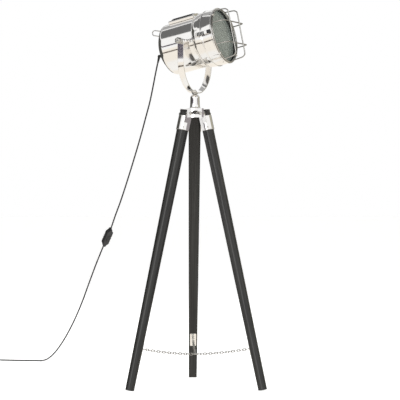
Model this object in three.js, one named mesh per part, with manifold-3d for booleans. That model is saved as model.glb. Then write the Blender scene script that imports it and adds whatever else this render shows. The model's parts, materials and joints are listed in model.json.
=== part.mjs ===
// Tripod floor lamp: a searchlight head in a U-shaped yoke, on three folding wooden legs.
// Millimetres, +Z up. The origin is on the floor, under the middle of the lamp's box.
import * as THREE from 'three';
import { mergeVertices } from 'three/addons/utils/BufferGeometryUtils.js';
import Module from 'manifold-3d';

const wasm = await Module();
wasm.setup();

const DEG = Math.PI / 180;
const GAP = 0.3; // clearance between neighbouring pieces
const WELD = 1e-4; // vertices closer than this are one

// Legs: D-shaped in section, flat face inwards. A leg's own frame has its origin at the hinge,
// +X outwards, +Z up the leg.
const LEG_AZIMUTHS = { left: 212, right: 332, back: 92 };
const LEG_TILT = 13.45;
const HINGE_RADIUS = 45.5;
const HINGE_HEIGHT = 1105;
const LEG_WIDTH = 49;
const LEG_SIDE = 13; // straight side of the D, before its half round
const LEG_INNER = -16;
const LEG_TOP = 13;
const TAPER_START = -75;
const FOOT_WIDTH = 33.5;
const FOOT_DEPTH = 30;
const FOOT_FLAT = 8;
const PIN_RADIUS = 4;
const PIN_LENGTH = 78;
const PIN_HEAD_RADIUS = 6.5;
const PIN_HEAD_LENGTH = 4.5;
const SOCKET_WALL = 2.2;
const SOCKET_BOTTOM = -70;
const SOCKET_TOP = -13;
const EAR_RADIUS = 12;

// Hub and neck
const HUB_RADIUS = 60.5;
const HUB_BOTTOM = 1088;
const HUB_TOP = 1125;
const HUB_SLOT_HALF = LEG_WIDTH / 2 + GAP + SOCKET_WALL + GAP;
const HUB_CORE = 20; // how far a leg slot stops from the axis
const HUB_CAP_RADIUS = 30; // the part of the hub over the leg tops
const HUB_CAP_BOTTOM = 1119.5;
const HUB_WINDOW = { width: 25, bottom: 1101, top: 1115.5 };
const BELL_TOP = 1184;
const STUD_RADIUS = 5;

// Spreader chain
const PLATE = { width: 26, height: 54, thickness: 3, along: -963 };
const EYE = { reach: 8, width: 5, height: 12 };
const CHAIN_RADIUS = 3.5;
const CHAIN_SAG = 9;
const RING_HEIGHT = 130;
const RING_RADIUS = 9;
const RING_WIRE = 1.8;

// Yoke: a flat strap bent to a U, with straight arms up to the tilt pivots
const PIVOT_HEIGHT = 1390;
const YOKE_BOTTOM = 1187.5;
const YOKE_WIDTH = 26;
const YOKE_STRAP = 4;
const YOKE_RADIUS = 132; // outside of the bend
const PAN = -25.9; // which way the head faces, from +X
const TILT = 11.8; // how far the head looks up

// Head, in its own frame: origin on the tilt axis, +X forwards, +Z up, -Y the near side
const CAN_RADIUS = 104;
const CAN_WALL = 1.5;
const CAN_FRONT = 46;
const DOME_RADIUS = 155;
const DOME_BACK = -148;
const DOME_EDGE = 93; // radius where the dome meets its fillet
const FILLET = { along: -98, radius: 22 };
const BARREL_RADIUS = 113;
const BARREL_FRONT = 81.7;
const DOOR_BACK = 82;
const BEAD_RADIUS = 115.5;
const MOUTH = 133;
const LENS_RADIUS = 108.7;
const HOOD = { back: -76, front: 37.4, radius: 117, half: 27 };
const CAGE_WIRE = 2.5;
const CAGE_OFFSET = 44;
const CAGE_FRONT = 189;
const CAGE_SPAN = 94;
const CAGE_BEND = 12;
const CAGE_RING = 108.3;
const LOOP = { x: -128, z: 71, half: 10.5, length: 55, rise: 20, wire: 2 };
const GLAND = { z: -12, back: -148.5, end: -162, ball: 6.8, nozzle: 27, slant: 26.7 };
const DOOR_HINGE_Y = 119.2;
const LATCH = { turn: 4, pivot: 66, out: 120.6 }; // turned up from the near side

// Tilt pivots
const PIVOT = { stud: 4, spacer: 8, arm: YOKE_RADIUS - YOKE_STRAP, knob: 134.2, knobLength: 28 };

// Mains lead. The route is where the lead hangs from the head down to the floor behind the lamp.
const CORD_RADIUS = 3;
const CORD_SIDES = 8;
const COIL = { x: -985, y: 993, radius: 31 };
const SWITCH = { half: 49, body: 35, width: 28, height: 20 };
const SWITCH_CENTRE = new THREE.Vector3(-381, 426, 592);
const SWITCH_ALONG = new THREE.Vector3(0.354, -0.54, 0.764).normalize(); // up the lead
const switchEnd = (side) => {
  const reach = SWITCH.half + 2 * GAP;
  return SWITCH_CENTRE.clone().addScaledVector(SWITCH_ALONG, side * reach);
};
const UPPER_ROUTE = [
  [-153.1, 74.3, 1317], [-157.8, 77.5, 1296], [-165, 87, 1262], [-173, 106, 1224],
  [-187, 132, 1162], [-205, 157, 1098], [-224, 186, 1032], [-248, 224, 955],
  [-286, 281, 840], [-318, 330, 749], [-343, 368, 686], switchEnd(1).toArray(),
];
const LOWER_ROUTE = [
  switchEnd(-1).toArray(), [-436, 510, 468], [-468, 558, 388], [-506, 616, 292],
  [-548, 680, 202], [-597, 755, 116], [-644, 827, 52], [-685, 889, 15], [-714, 920, 4.5],
  [-748, 934, 3.2], [-790, 936, 3.2], [-835, 941, 3.2], [-880, 951, 3.2], [-915, 958, 3.2],
  [-945, 961.5, 3.2], [COIL.x + 20.8, COIL.y - COIL.radius, 3.2],
];
const TAIL_ROUTE = [
  [COIL.x - 20.8, COIL.y - COIL.radius, 9], [-1018, 962, 8.6], [-1030, 962, 8], [-1039.7, 962, 7.6],
];
const PLUG = { x: -1040, y: 962, z: 7.6, relief: 18, body: 34, pin: 19 };

const finish = (color, roughness, metalness) =>
  new THREE.MeshStandardMaterial({ color, roughness, metalness });
const MATERIALS = {
  wood: finish(0x242221, 0.45, 0),
  nickel: finish(0xd9d6d0, 0.12, 1),
  steel: finish(0xb4b2ae, 0.3, 1),
  brass: finish(0xb08a4a, 0.3, 1),
  black: finish(0x151515, 0.5, 0),
  rubber: finish(0x101010, 0.8, 0),
  glass: finish(0x59635b, 0.1, 0),
  white: finish(0xf2f0ea, 0.3, 0),
  mirror: finish(0xe8e8e8, 0.08, 1),
};

// ---- geometry helpers ----

// Merges shared vertices, drops triangles with no area and turns the faces outwards.
function closed(geometry) {
  geometry.deleteAttribute('normal');
  geometry.deleteAttribute('uv');
  const merged = mergeVertices(geometry, WELD);
  const position = merged.attributes.position;
  const corners = merged.index.array;
  const [a, b, c] = [new THREE.Vector3(), new THREE.Vector3(), new THREE.Vector3()];
  const triangles = [];
  let volume = 0;
  for (let i = 0; i < corners.length; i += 3) {
    const [u, v, w] = [corners[i], corners[i + 1], corners[i + 2]];
    if (u === v || v === w || w === u) continue;
    a.fromBufferAttribute(position, u);
    b.fromBufferAttribute(position, v);
    c.fromBufferAttribute(position, w);
    volume += a.dot(b.cross(c));
    triangles.push([u, v, w]);
  }
  merged.setIndex(triangles.flatMap(([u, v, w]) => (volume < 0 ? [u, w, v] : [u, v, w])));
  return merged;
}

function toManifold(geometry) {
  const mesh = closed(geometry.clone());
  return new wasm.Manifold(new wasm.Mesh({
    numProp: 3,
    vertProperties: new Float32Array(mesh.attributes.position.array),
    triVerts: new Uint32Array(mesh.index.array),
  }));
}

function fromManifold(manifold) {
  const { vertProperties, triVerts } = manifold.getMesh();
  const geometry = new THREE.BufferGeometry();
  geometry.setAttribute('position', new THREE.BufferAttribute(vertProperties, 3));
  geometry.setIndex(new THREE.BufferAttribute(triVerts, 1));
  return geometry;
}

function cut(base, ...tools) {
  return fromManifold(tools.reduce((left, tool) => left.subtract(toManifold(tool)), toManifold(base)));
}

function join(base, ...others) {
  return fromManifold(others.reduce((sum, other) => sum.add(toManifold(other)), toManifold(base)));
}

// A solid of revolution about Z from [along, radius] pairs; a profile off the axis is closed.
function turned(profile, segments = 24) {
  const points = profile.map(([along, radius]) => new THREE.Vector2(radius, along));
  if (points[0].x > 0) points.push(points[0].clone());
  return new THREE.LatheGeometry(points, segments).rotateX(Math.PI / 2);
}

// The same about the head's own X axis.
function turnedX(profile, segments = 24) {
  return turned(profile, segments).rotateY(Math.PI / 2);
}

// Points of an arc in a profile, angles in degrees.
function arc(along, radius, r, from, to, steps) {
  return Array.from({ length: steps + 1 }, (_, i) => {
    const angle = (from + ((to - from) * i) / steps) * DEG;
    return [along + r * Math.cos(angle), radius + r * Math.sin(angle)];
  });
}

function box(x, y, z, width, depth, height) {
  return new THREE.BoxGeometry(width, depth, height).translate(x, y, z);
}

function rodZ(radius, length, segments = 12) {
  return new THREE.CylinderGeometry(radius, radius, length, segments).rotateX(Math.PI / 2);
}

function rodX(radius, length, segments = 12) {
  return rodZ(radius, length, segments).rotateY(Math.PI / 2);
}

function rodY(radius, length, segments = 12) {
  return new THREE.CylinderGeometry(radius, radius, length, segments);
}

function polygon(points) {
  return new THREE.Shape(points.map(([x, y]) => new THREE.Vector2(x, y)));
}

function slab(points, depth, steps = 1) {
  return new THREE.ExtrudeGeometry(polygon(points), { depth, steps, bevelEnabled: false });
}

function wire(points, radius, steps, sides) {
  const curve = new THREE.CatmullRomCurve3(points, false, 'centripetal');
  const section = polygon(arc(0, 0, radius, 0, 360 - 360 / sides, sides - 1));
  return new THREE.ExtrudeGeometry(section, { steps, extrudePath: curve, bevelEnabled: false });
}

// Moves each level of a slab extruded in unit steps to a station: its height and its scales
// about the inner flat face.
function lofted(points, stations, fixedX) {
  const geometry = slab(points, stations.length - 1, stations.length - 1);
  const position = geometry.attributes.position;
  for (let i = 0; i < position.count; i += 1) {
    const station = stations[Math.round(position.getZ(i))];
    const x = fixedX + (position.getX(i) - fixedX) * station.depth;
    position.setXYZ(i, x, position.getY(i) * station.width, station.z);
  }
  return geometry;
}

function piece(parent, name, geometry, material) {
  const mesh = new THREE.Mesh(closed(geometry), material);
  mesh.name = name;
  parent.add(mesh);
  return mesh;
}

// ---- legs ----

function dSection(half, inner, sideEnd, steps = 8) {
  return [[inner, half], [inner, -half], ...arc(sideEnd, 0, half, -90, 90, steps)];
}

function legFrame(azimuth) {
  const turn = new THREE.Group();
  turn.rotation.z = azimuth * DEG;
  const frame = new THREE.Group();
  frame.position.set(HINGE_RADIUS, 0, HINGE_HEIGHT);
  frame.rotation.y = -LEG_TILT * DEG;
  turn.add(frame);
  lamp.add(turn);
  return frame;
}

function legWood() {
  const half = LEG_WIDTH / 2;
  const sideEnd = LEG_INNER + LEG_SIDE;
  const sink = FOOT_FLAT * Math.tan(LEG_TILT * DEG);
  const innerFoot = HINGE_HEIGHT + LEG_INNER * Math.sin(LEG_TILT * DEG);
  const foot = -(innerFoot + sink) / Math.cos(LEG_TILT * DEG);
  const blank = lofted(dSection(half, LEG_INNER, sideEnd), [
    { z: foot, width: FOOT_WIDTH / LEG_WIDTH, depth: FOOT_DEPTH / (LEG_SIDE + half) },
    { z: TAPER_START, width: 1, depth: 1 },
    { z: LEG_TOP, width: 1, depth: 1 },
  ], LEG_INNER);
  const reach = HINGE_HEIGHT * Math.tan(LEG_TILT * DEG);
  const floor = box(reach, 0, -HINGE_HEIGHT - 50, 200, 200, 100).rotateY(LEG_TILT * DEG);
  return cut(blank, rodY(PIN_RADIUS + GAP, 100), floor);
}

function legSocket() {
  const inner = LEG_WIDTH / 2 + GAP;
  const outer = inner + SOCKET_WALL;
  const sideEnd = LEG_INNER + LEG_SIDE;
  const height = SOCKET_TOP - SOCKET_BOTTOM;
  const sleeve = slab(dSection(outer, LEG_INNER, sideEnd), height).translate(0, 0, SOCKET_BOTTOM);
  const round = arc(0, 0, EAR_RADIUS, 0, 180, 10);
  const ear = slab([[EAR_RADIUS, -30], ...round, [-EAR_RADIUS, -30]], outer * 2);
  ear.rotateX(Math.PI / 2).translate(0, outer, 0);
  const room = slab(dSection(inner, LEG_INNER - 10, sideEnd), 140).translate(0, 0, -100);
  return cut(join(sleeve, ear), room, rodY(PIN_RADIUS + GAP, 100));
}

function chainPlate() {
  const back = LEG_INNER - GAP;
  const front = back - PLATE.thickness;
  const plate = box(back - PLATE.thickness / 2, 0, 0, PLATE.thickness, PLATE.width, PLATE.height);
  const lug = box(front - EYE.reach / 2 + 0.5, 0, 0, EYE.reach + 1, EYE.width, EYE.height);
  const hole = rodY(2.4, 20).translate(front - EYE.reach + 3.4, 0, 0);
  return cut(join(plate, lug), hole).translate(0, 0, PLATE.along);
}

function hingePin() {
  const half = PIN_LENGTH / 2;
  const tip = half + PIN_HEAD_LENGTH;
  return turned([
    [-tip, 0], [-tip, PIN_HEAD_RADIUS], [-half, PIN_HEAD_RADIUS], [-half, PIN_RADIUS],
    [half, PIN_RADIUS], [half, PIN_HEAD_RADIUS], [tip, PIN_HEAD_RADIUS], [tip, 0],
  ], 12).rotateX(Math.PI / 2);
}

// The eye of a chain plate, in the leg's radial plane: [radius from the axis, height].
function eyePoint() {
  const x = LEG_INNER - GAP - PLATE.thickness - EYE.reach - 1;
  const [sin, cos] = [Math.sin(LEG_TILT * DEG), Math.cos(LEG_TILT * DEG)];
  return [
    HINGE_RADIUS + x * cos - PLATE.along * sin,
    HINGE_HEIGHT + x * sin + PLATE.along * cos,
  ];
}

function chainArm() {
  const [reach, height] = eyePoint();
  const end = RING_RADIUS + RING_WIRE + CHAIN_RADIUS + GAP;
  const points = [0, 0.25, 0.5, 0.75, 1].map((t) => {
    const sag = CHAIN_SAG * 4 * t * (1 - t);
    return new THREE.Vector3(reach + (end - reach) * t, 0, height + (RING_HEIGHT - height) * t - sag);
  });
  return wire(points, CHAIN_RADIUS, 10, 8);
}

// ---- hub and neck ----

function hub() {
  const height = HUB_TOP - HUB_BOTTOM;
  let casting = rodZ(HUB_RADIUS, height, 24).translate(0, 0, (HUB_TOP + HUB_BOTTOM) / 2);
  const slotHeight = HUB_CAP_BOTTOM - HUB_BOTTOM + 20;
  const windowHeight = HUB_WINDOW.top - HUB_WINDOW.bottom;
  for (const azimuth of Object.values(LEG_AZIMUTHS)) {
    const slot = box(HUB_CORE + 50, 0, 0, 100, HUB_SLOT_HALF * 2, slotHeight);
    slot.translate(0, 0, HUB_CAP_BOTTOM - slotHeight / 2).rotateZ(azimuth * DEG);
    const above = box(HUB_CAP_RADIUS + 50, 0, HUB_TOP, 100, HUB_SLOT_HALF * 2, 40);
    above.rotateZ(azimuth * DEG);
    const opening = box(-50, 0, 0, 100, HUB_WINDOW.width - windowHeight, windowHeight);
    const ends = [-1, 1].map((side) => {
      const end = rodX(windowHeight / 2, 100);
      return end.translate(-50, (side * (HUB_WINDOW.width - windowHeight)) / 2, 0);
    });
    const window = join(opening, ...ends);
    window.translate(0, 0, (HUB_WINDOW.top + HUB_WINDOW.bottom) / 2).rotateZ(azimuth * DEG);
    const pin = rodY(PIN_RADIUS + GAP, 2 * HUB_RADIUS);
    const sinks = [-1, 1].map((end) => {
      const sink = rodY(PIN_HEAD_RADIUS + 1, HUB_RADIUS);
      return sink.translate(0, end * ((PIN_LENGTH + HUB_RADIUS) / 2 - GAP), 0);
    });
    const bores = [pin, ...sinks].map((bore) => {
      bore.translate(HINGE_RADIUS, 0, HINGE_HEIGHT);
      return bore.rotateZ(azimuth * DEG);
    });
    casting = cut(casting, slot, above, window, ...bores);
  }
  const tapped = rodZ(STUD_RADIUS + GAP, 40).translate(0, 0, HUB_TOP);
  return cut(casting, tapped);
}

function neckBell() {
  const bore = STUD_RADIUS + GAP;
  return turned([
    [HUB_TOP + GAP, bore], [HUB_TOP + GAP, 24], [HUB_TOP + 2.5, 24],
    ...arc(HUB_TOP + 12, 30, 10, 200, 262, 3), [HUB_TOP + 16, 19.6], [HUB_TOP + 40, 18.8],
    ...arc(HUB_TOP + 44, 4.5, 14.5, 80, 8, 4), [BELL_TOP, bore + 1], [BELL_TOP, bore],
  ], 20);
}

function panStud() {
  return rodZ(STUD_RADIUS, YOKE_BOTTOM + 6 - HUB_TOP + 6).translate(0, 0, (YOKE_BOTTOM + HUB_TOP) / 2);
}

function panWasher() {
  const bore = STUD_RADIUS + GAP;
  const [low, high] = [BELL_TOP + GAP, YOKE_BOTTOM - GAP];
  return turned([[low, bore], [low, 12], [high, 12], [high, bore]], 24);
}

function panNut() {
  const seat = YOKE_BOTTOM + YOKE_STRAP + 0.8;
  const hexagon = turned([[seat, 0], [seat, 8.5], [seat + 2, 8.5], [seat + 2, 0]], 6);
  const cap = turned([[seat + 1, 0], [seat + 1, 7], [seat + 5, 7], ...arc(seat + 5, 0, 6, 80, 0, 4)], 16);
  const blind = rodZ(STUD_RADIUS + GAP, 6).translate(0, 0, YOKE_BOTTOM + 6 - 2.7);
  return cut(join(hexagon, cap), blind);
}

// ---- yoke ----

function yokeStrap() {
  const inner = YOKE_RADIUS - YOKE_STRAP;
  const centre = YOKE_BOTTOM + YOKE_RADIUS;
  const outside = arc(0, centre, YOKE_RADIUS, 180, 360, 24);
  const inside = arc(0, centre, inner, 360, 180, 24);
  const outline = [
    [-YOKE_RADIUS, PIVOT_HEIGHT], ...outside, [YOKE_RADIUS, PIVOT_HEIGHT],
    [inner, PIVOT_HEIGHT], ...inside, [-inner, PIVOT_HEIGHT],
  ];
  const bend = slab(outline, YOKE_WIDTH).translate(0, 0, -YOKE_WIDTH / 2);
  bend.rotateX(Math.PI / 2).rotateZ(Math.PI / 2);
  const ends = [-1, 1].map((side) => {
    const end = rodY(YOKE_WIDTH / 2, YOKE_STRAP, 24);
    return end.translate(0, side * (YOKE_RADIUS - YOKE_STRAP / 2), PIVOT_HEIGHT);
  });
  const bore = rodY(PIVOT.stud + GAP, 400).translate(0, 0, PIVOT_HEIGHT);
  const foot = rodZ(STUD_RADIUS + GAP, 40).translate(0, 0, YOKE_BOTTOM);
  return cut(join(bend, ...ends), bore, foot);
}

// ---- head ----

function rearHousing() {
  const inner = FILLET.radius - CAN_WALL;
  const edge = Math.asin(DOME_EDGE / DOME_RADIUS) / DEG;
  const domeCentre = DOME_BACK + DOME_RADIUS;
  const filletCentre = CAN_RADIUS - FILLET.radius;
  const shell = turnedX([
    ...arc(domeCentre, 0, DOME_RADIUS, 180, 180 - edge, 5),
    ...arc(FILLET.along, filletCentre, FILLET.radius, 143, 90, 3),
    [CAN_FRONT, CAN_RADIUS], [CAN_FRONT, CAN_RADIUS - CAN_WALL],
    ...arc(FILLET.along, filletCentre, inner, 90, 143, 3),
    ...arc(domeCentre, 0, DOME_RADIUS - CAN_WALL, 180 - edge, 180, 5),
  ]);
  const gland = rodX(5.3, 40).translate(DOME_BACK, 0, GLAND.z);
  const studs = rodY(PIVOT.stud + GAP, 400);
  const loopHoles = [-1, 1].map((side) => {
    const hole = rodX(LOOP.wire + GAP, 40).translate(0, 0, side * LOOP.half);
    return hole.rotateY(LOOP.rise * DEG).translate(LOOP.x, 0, LOOP.z);
  });
  return cut(shell, gland, studs, ...loopHoles);
}

function frontBarrel() {
  const wall = CAN_WALL;
  return turnedX([
    [38, CAN_RADIUS + GAP], [38, 106.2], [43, 106.4], [47, 108], [50, 110.6], [55, 111.6],
    [71, BARREL_RADIUS], [BARREL_FRONT, BARREL_RADIUS],
    [BARREL_FRONT, BARREL_RADIUS - wall], [71, BARREL_RADIUS - wall],
    [52, 109], [46.5, CAN_RADIUS + GAP],
  ]);
}

function polar(radius, degrees) {
  return [radius * Math.cos(degrees * DEG), radius * Math.sin(degrees * DEG)];
}

function ventHood() {
  const foot = CAN_RADIUS + 0.5;
  const [from, to] = [90 - HOOD.half, 90 + HOOD.half];
  const inset = 1.05;
  const channel = slab([
    polar(foot, from), ...arc(0, 0, HOOD.radius, from, to, 10), polar(foot, to),
    polar(foot, to - inset), ...arc(0, 0, HOOD.radius - 2, to - inset, from + inset, 10),
    polar(foot, from + inset),
  ], HOOD.front - HOOD.back);
  const wall = slab([...arc(0, 0, foot, to, from, 10), ...arc(0, 0, HOOD.radius, from, to, 10)], 2);
  const length = HOOD.front - HOOD.back;
  const hood = join(channel, wall, wall.clone().translate(0, 0, length - 2));
  return hood.rotateX(Math.PI / 2).rotateZ(Math.PI / 2).translate(HOOD.back, 0, 0);
}

function rearLoop() {
  const straight = LOOP.length - LOOP.half;
  const bend = arc(straight, 0, LOOP.half, -60, 60, 4);
  const points = [
    [0, -LOOP.half], [straight, -LOOP.half], ...bend, [straight, LOOP.half], [0, LOOP.half],
  ];
  const path = points.map(([along, side]) => new THREE.Vector3(-along, 0, side));
  return wire(path, LOOP.wire, 22, 6).rotateY(LOOP.rise * DEG).translate(LOOP.x, 0, LOOP.z);
}

function cordGland() {
  return turnedX([
    [GLAND.end, 0], [GLAND.end, 5.5], [GLAND.end + 2, 7.5], [GLAND.back - 5, 8.5], [GLAND.back, 8.5],
    [GLAND.back, 5], [-140, 5], [-140, 0],
  ], 16).translate(0, 0, GLAND.z);
}

function strainRelief() {
  const ball = new THREE.SphereGeometry(GLAND.ball, 12, 8);
  const nozzle = turned([[-GLAND.nozzle, 0], [-GLAND.nozzle, 3.6], [-3, 5.6], [-3, 0]], 16);
  nozzle.rotateY(GLAND.slant * DEG);
  return join(ball, nozzle).translate(GLAND.end - GAP - GLAND.ball, 0, GLAND.z);
}

function reflector() {
  const depth = 105;
  const steps = 6;
  const curve = (offset) => Array.from({ length: steps + 1 }, (_, i) => {
    const t = i / steps;
    return [-30 + depth * t * t + offset, 34 + 66 * t];
  });
  return turnedX([...curve(0), ...curve(1.6).reverse()], 24);
}

function bulb() {
  return turnedX([
    [-58, 0], [-58, 12.5], [-40, 12.8], [-30, 15], ...arc(12, 0, 30, 145, 0, 7),
  ], 20);
}

function lampHolder() {
  return turnedX([[-93.7, 0], [-93.7, 17], [-80, 20], [-44, 20], [-44, 14], [-59, 14], [-59, 0]], 20);
}

function holderBracket() {
  const height = 24;
  const reach = Math.sqrt((CAN_RADIUS - CAN_WALL - 1) ** 2 - (height / 2) ** 2);
  return box(-95, 0, 0, 2, 2 * (reach - GAP), height);
}

function tiltStud(side) {
  const [from, to] = [96, PIVOT.knob + 12];
  return rodY(PIVOT.stud, to - from).translate(0, (side * (from + to)) / 2, 0);
}

function ring(from, to, outer, bore, side) {
  const body = turned([[from, bore], [from, outer], [to, outer], [to, bore]], 20);
  return body.rotateX((-side * Math.PI) / 2);
}

function tiltKnob(side) {
  const [from, to] = [PIVOT.knob, PIVOT.knob + PIVOT.knobLength];
  let knob = turned([
    [from, 0], [from, 9], [from + 6, 9], [from + 7, 12], [to - 3, 12], [to - 1, 10.5], [to, 8], [to, 0],
  ], 24);
  for (let flute = 0; flute < 6; flute += 1) {
    const groove = rodZ(2.6, 24, 6).translate(13, 0, to - 6).rotateZ((flute * Math.PI) / 3);
    knob = cut(knob, groove);
  }
  const bore = rodZ(PIVOT.stud + GAP, 26).translate(0, 0, from);
  return cut(knob, bore).rotateX((-side * Math.PI) / 2);
}

// ---- front door: ring, glass and cage ----

function doorRing() {
  return turnedX([
    [DOOR_BACK, 111.2], [DOOR_BACK, BEAD_RADIUS - 1],
    [DOOR_BACK + 1, BEAD_RADIUS], [DOOR_BACK + 4, BEAD_RADIUS],
    [DOOR_BACK + 5.5, BARREL_RADIUS + 0.2], [MOUTH - 5, BARREL_RADIUS + 0.2], [MOUTH - 4, 114.6],
    [MOUTH - 1, 114.6], [MOUTH, 113.6], [MOUTH, 106], [MOUTH - 3, 106], [MOUTH - 3, 111.2],
  ]);
}

function lensGasket() {
  return turnedX([[112, 104], [112, 110.9], [129.6, 110.9], [129.6, 109], [116, 109], [116, 104]]);
}

function lens() {
  return turnedX([[116.3, 0], [116.3, LENS_RADIUS], [119, LENS_RADIUS], [121.2, 60], [122, 0]]);
}

function cageWire(front) {
  const foot = Math.sqrt(CAGE_RING ** 2 - CAGE_OFFSET ** 2);
  const base = MOUTH + GAP + CAGE_WIRE;
  const turn = CAGE_BEND * 0.3;
  const half = [
    [base, foot], [front - CAGE_BEND, CAGE_SPAN + 1.6],
    [front - turn, CAGE_SPAN - turn], [front, CAGE_SPAN - CAGE_BEND],
  ];
  const points = [...half, [front, 0], ...half.map(([x, z]) => [x, -z]).reverse()];
  return wire(points.map(([x, z]) => new THREE.Vector3(x, 0, z)), CAGE_WIRE, 16, 6);
}

function wireCage() {
  const base = MOUTH + GAP + CAGE_WIRE;
  const hoop = new THREE.TorusGeometry(CAGE_RING, CAGE_WIRE, 6, 24).rotateY(Math.PI / 2);
  hoop.translate(base, 0, 0);
  const upright = cageWire(CAGE_FRONT);
  const level = cageWire(CAGE_FRONT - CAGE_WIRE * 1.8).rotateX(Math.PI / 2);
  return join(
    hoop,
    ...[-CAGE_OFFSET, CAGE_OFFSET].map((side) => upright.clone().translate(0, side, 0)),
    ...[-CAGE_OFFSET, CAGE_OFFSET].map((side) => level.clone().translate(0, 0, side)),
  );
}

function knuckle(from, to) {
  return rodZ(3.2, to - from, 12).translate(DOOR_BACK, DOOR_HINGE_Y, (from + to) / 2);
}

function hingeBore() {
  return rodZ(1.7, 60, 10).translate(DOOR_BACK, DOOR_HINGE_Y, 0);
}

function hingeLeafFixed() {
  const leaf = box(70.5, 115.4, 0, 15, 3.6, 24);
  const arm = box(79, 117.8, 0, 6, 2.8, 9.4);
  return cut(join(leaf, arm, knuckle(-4.7, 4.7)), hingeBore());
}

function hingeLeafDoor() {
  const leaf = box(95, 115.4, 0, 13, 3.6, 24);
  const arms = [-1, 1].map((side) => box(86, 117.4, side * 8.5, 8, 2.4, 7));
  return cut(join(leaf, ...arms, knuckle(5, 12), knuckle(-12, -5)), hingeBore());
}

function hingePinDoor() {
  return rodZ(1.4, 27, 10).translate(DOOR_BACK, DOOR_HINGE_Y, 0);
}

function onLatch(geometry) {
  return geometry.rotateX(-LATCH.turn * DEG);
}

function latchBase() {
  const pad = box(69, -115.2, 0, 24, 3.6, 14);
  const post = box(LATCH.pivot, -119.5, 0, 6, 5.6, 5.4);
  return onLatch(cut(join(pad, post), rodZ(1.5, 20, 10).translate(LATCH.pivot, -LATCH.out, 0)));
}

function latchLever() {
  const blade = box(101, -LATCH.out - 0.6, 0, 62, 2, 12);
  const cheeks = [-1, 1].map((side) => box(LATCH.pivot + 2, -LATCH.out, side * 4.6, 8, 3.6, 2.8));
  const tab = box(130.5, -LATCH.out - 1.6, 0, 3, 4, 12);
  return onLatch(join(blade, ...cheeks, tab));
}

function latchCatch() {
  return onLatch(box(107, -116.6, 0, 18, 6, 10));
}

// ---- lead, switch and plug ----

function cordTube(route, steps) {
  return wire(route.map((point) => new THREE.Vector3(...point)), CORD_RADIUS, steps, CORD_SIDES);
}

function cordCoil() {
  const [inner, outer] = [COIL.radius - CORD_RADIUS - 0.2, COIL.radius + CORD_RADIUS + 0.2];
  return turned([[0.2, inner], [0.2, outer], [12.2, outer], [12.2, inner]], 28).translate(COIL.x, COIL.y, 0);
}

function switchFrame() {
  const frame = new THREE.Group();
  const along = SWITCH_ALONG;
  const across = new THREE.Vector3(-along.y, along.x, 0).normalize().negate();
  const face = new THREE.Vector3().crossVectors(along, across);
  frame.matrix.makeBasis(along, across, face);
  frame.matrix.setPosition(SWITCH_CENTRE);
  frame.matrix.decompose(frame.position, frame.quaternion, frame.scale);
  cords.add(frame);
  return frame;
}

// Outline of the switch body seen from its face: straight sides and tapered ends.
function switchOutline(inset) {
  const [half, body, side] = [SWITCH.half - inset, SWITCH.body - inset, SWITCH.width / 2 - inset];
  return [
    [-half, -4], [-body - 4, -6], [-body + 2, -side], [body - 2, -side], [body + 4, -6], [half, -4],
    [half, 4], [body + 4, 6], [body - 2, side], [-body + 2, side], [-body - 4, 6], [-half, 4],
  ];
}

function switchBase() {
  return slab(switchOutline(0), SWITCH.height / 2 - GAP / 2).translate(0, 0, -SWITCH.height / 2);
}

function switchCover() {
  const cover = slab(switchOutline(0), SWITCH.height / 2 - GAP / 2).translate(0, 0, GAP / 2);
  return cut(cover, box(0, 0, 8, 27.4, 13, 12));
}

function switchRocker() {
  const outline = [[-12.3, 5], [12.3, 5], [12.3, 9.6], [0, 11.2], [-12.3, 13]];
  return slab(outline, 12).rotateX(Math.PI / 2).translate(0, 6, 0);
}

function plugBody() {
  const relief = turned([[0, 0], [0, 4], [PLUG.relief, 6.4], [PLUG.relief, 0]], 16);
  relief.rotateY(-Math.PI / 2).translate(PLUG.x, PLUG.y, PLUG.z);
  const from = PLUG.relief - 1;
  const to = PLUG.relief + PLUG.body;
  const shell = slab([
    [-from, -6.6], [-from - 9, -17.5], [-to, -17.5], [-to, 17.5], [-from - 9, 17.5], [-from, 6.6],
  ], 13.6);
  shell.translate(PLUG.x, PLUG.y, PLUG.z - 7.2);
  const pins = [-9.5, 9.5].map((side) => {
    const hole = rodX(2.3, 12);
    return hole.translate(PLUG.x - to, PLUG.y + side, PLUG.z);
  });
  return cut(join(relief, shell), ...pins);
}

function plugPin(side) {
  const start = PLUG.relief + PLUG.body - 5.5;
  const profile = [[0, 0], [0, 2], [PLUG.pin + 4.5, 2], [PLUG.pin + 5.5, 1.2], [PLUG.pin + 5.5, 0]];
  return turned(profile, 12).rotateY(-Math.PI / 2).translate(PLUG.x - start, PLUG.y + side * 9.5, PLUG.z);
}

// ---- assembly ----

const lamp = new THREE.Group();
const cords = new THREE.Group();

piece(lamp, 'hub_casting', hub(), MATERIALS.nickel);
piece(lamp, 'neck_bell', neckBell(), MATERIALS.nickel);
piece(lamp, 'pan_stud', panStud(), MATERIALS.steel);
piece(lamp, 'pan_washer', panWasher(), MATERIALS.steel);
piece(lamp, 'pan_nut', panNut(), MATERIALS.nickel);

for (const [side, azimuth] of Object.entries(LEG_AZIMUTHS)) {
  const frame = legFrame(azimuth);
  piece(frame, `leg_${side}`, legWood(), MATERIALS.wood);
  piece(frame, `leg_socket_${side}`, legSocket(), MATERIALS.nickel);
  piece(frame, `chain_plate_${side}`, chainPlate(), MATERIALS.nickel);
  const pin = piece(frame.parent, `hinge_pin_${side}`, hingePin(), MATERIALS.steel);
  pin.position.set(HINGE_RADIUS, 0, HINGE_HEIGHT);
  piece(frame.parent, `chain_${side}`, chainArm(), MATERIALS.steel);
}
const link = new THREE.TorusGeometry(RING_RADIUS, RING_WIRE, 6, 16);
const chainRing = piece(lamp, 'chain_ring', link, MATERIALS.steel);
chainRing.position.z = RING_HEIGHT;

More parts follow.
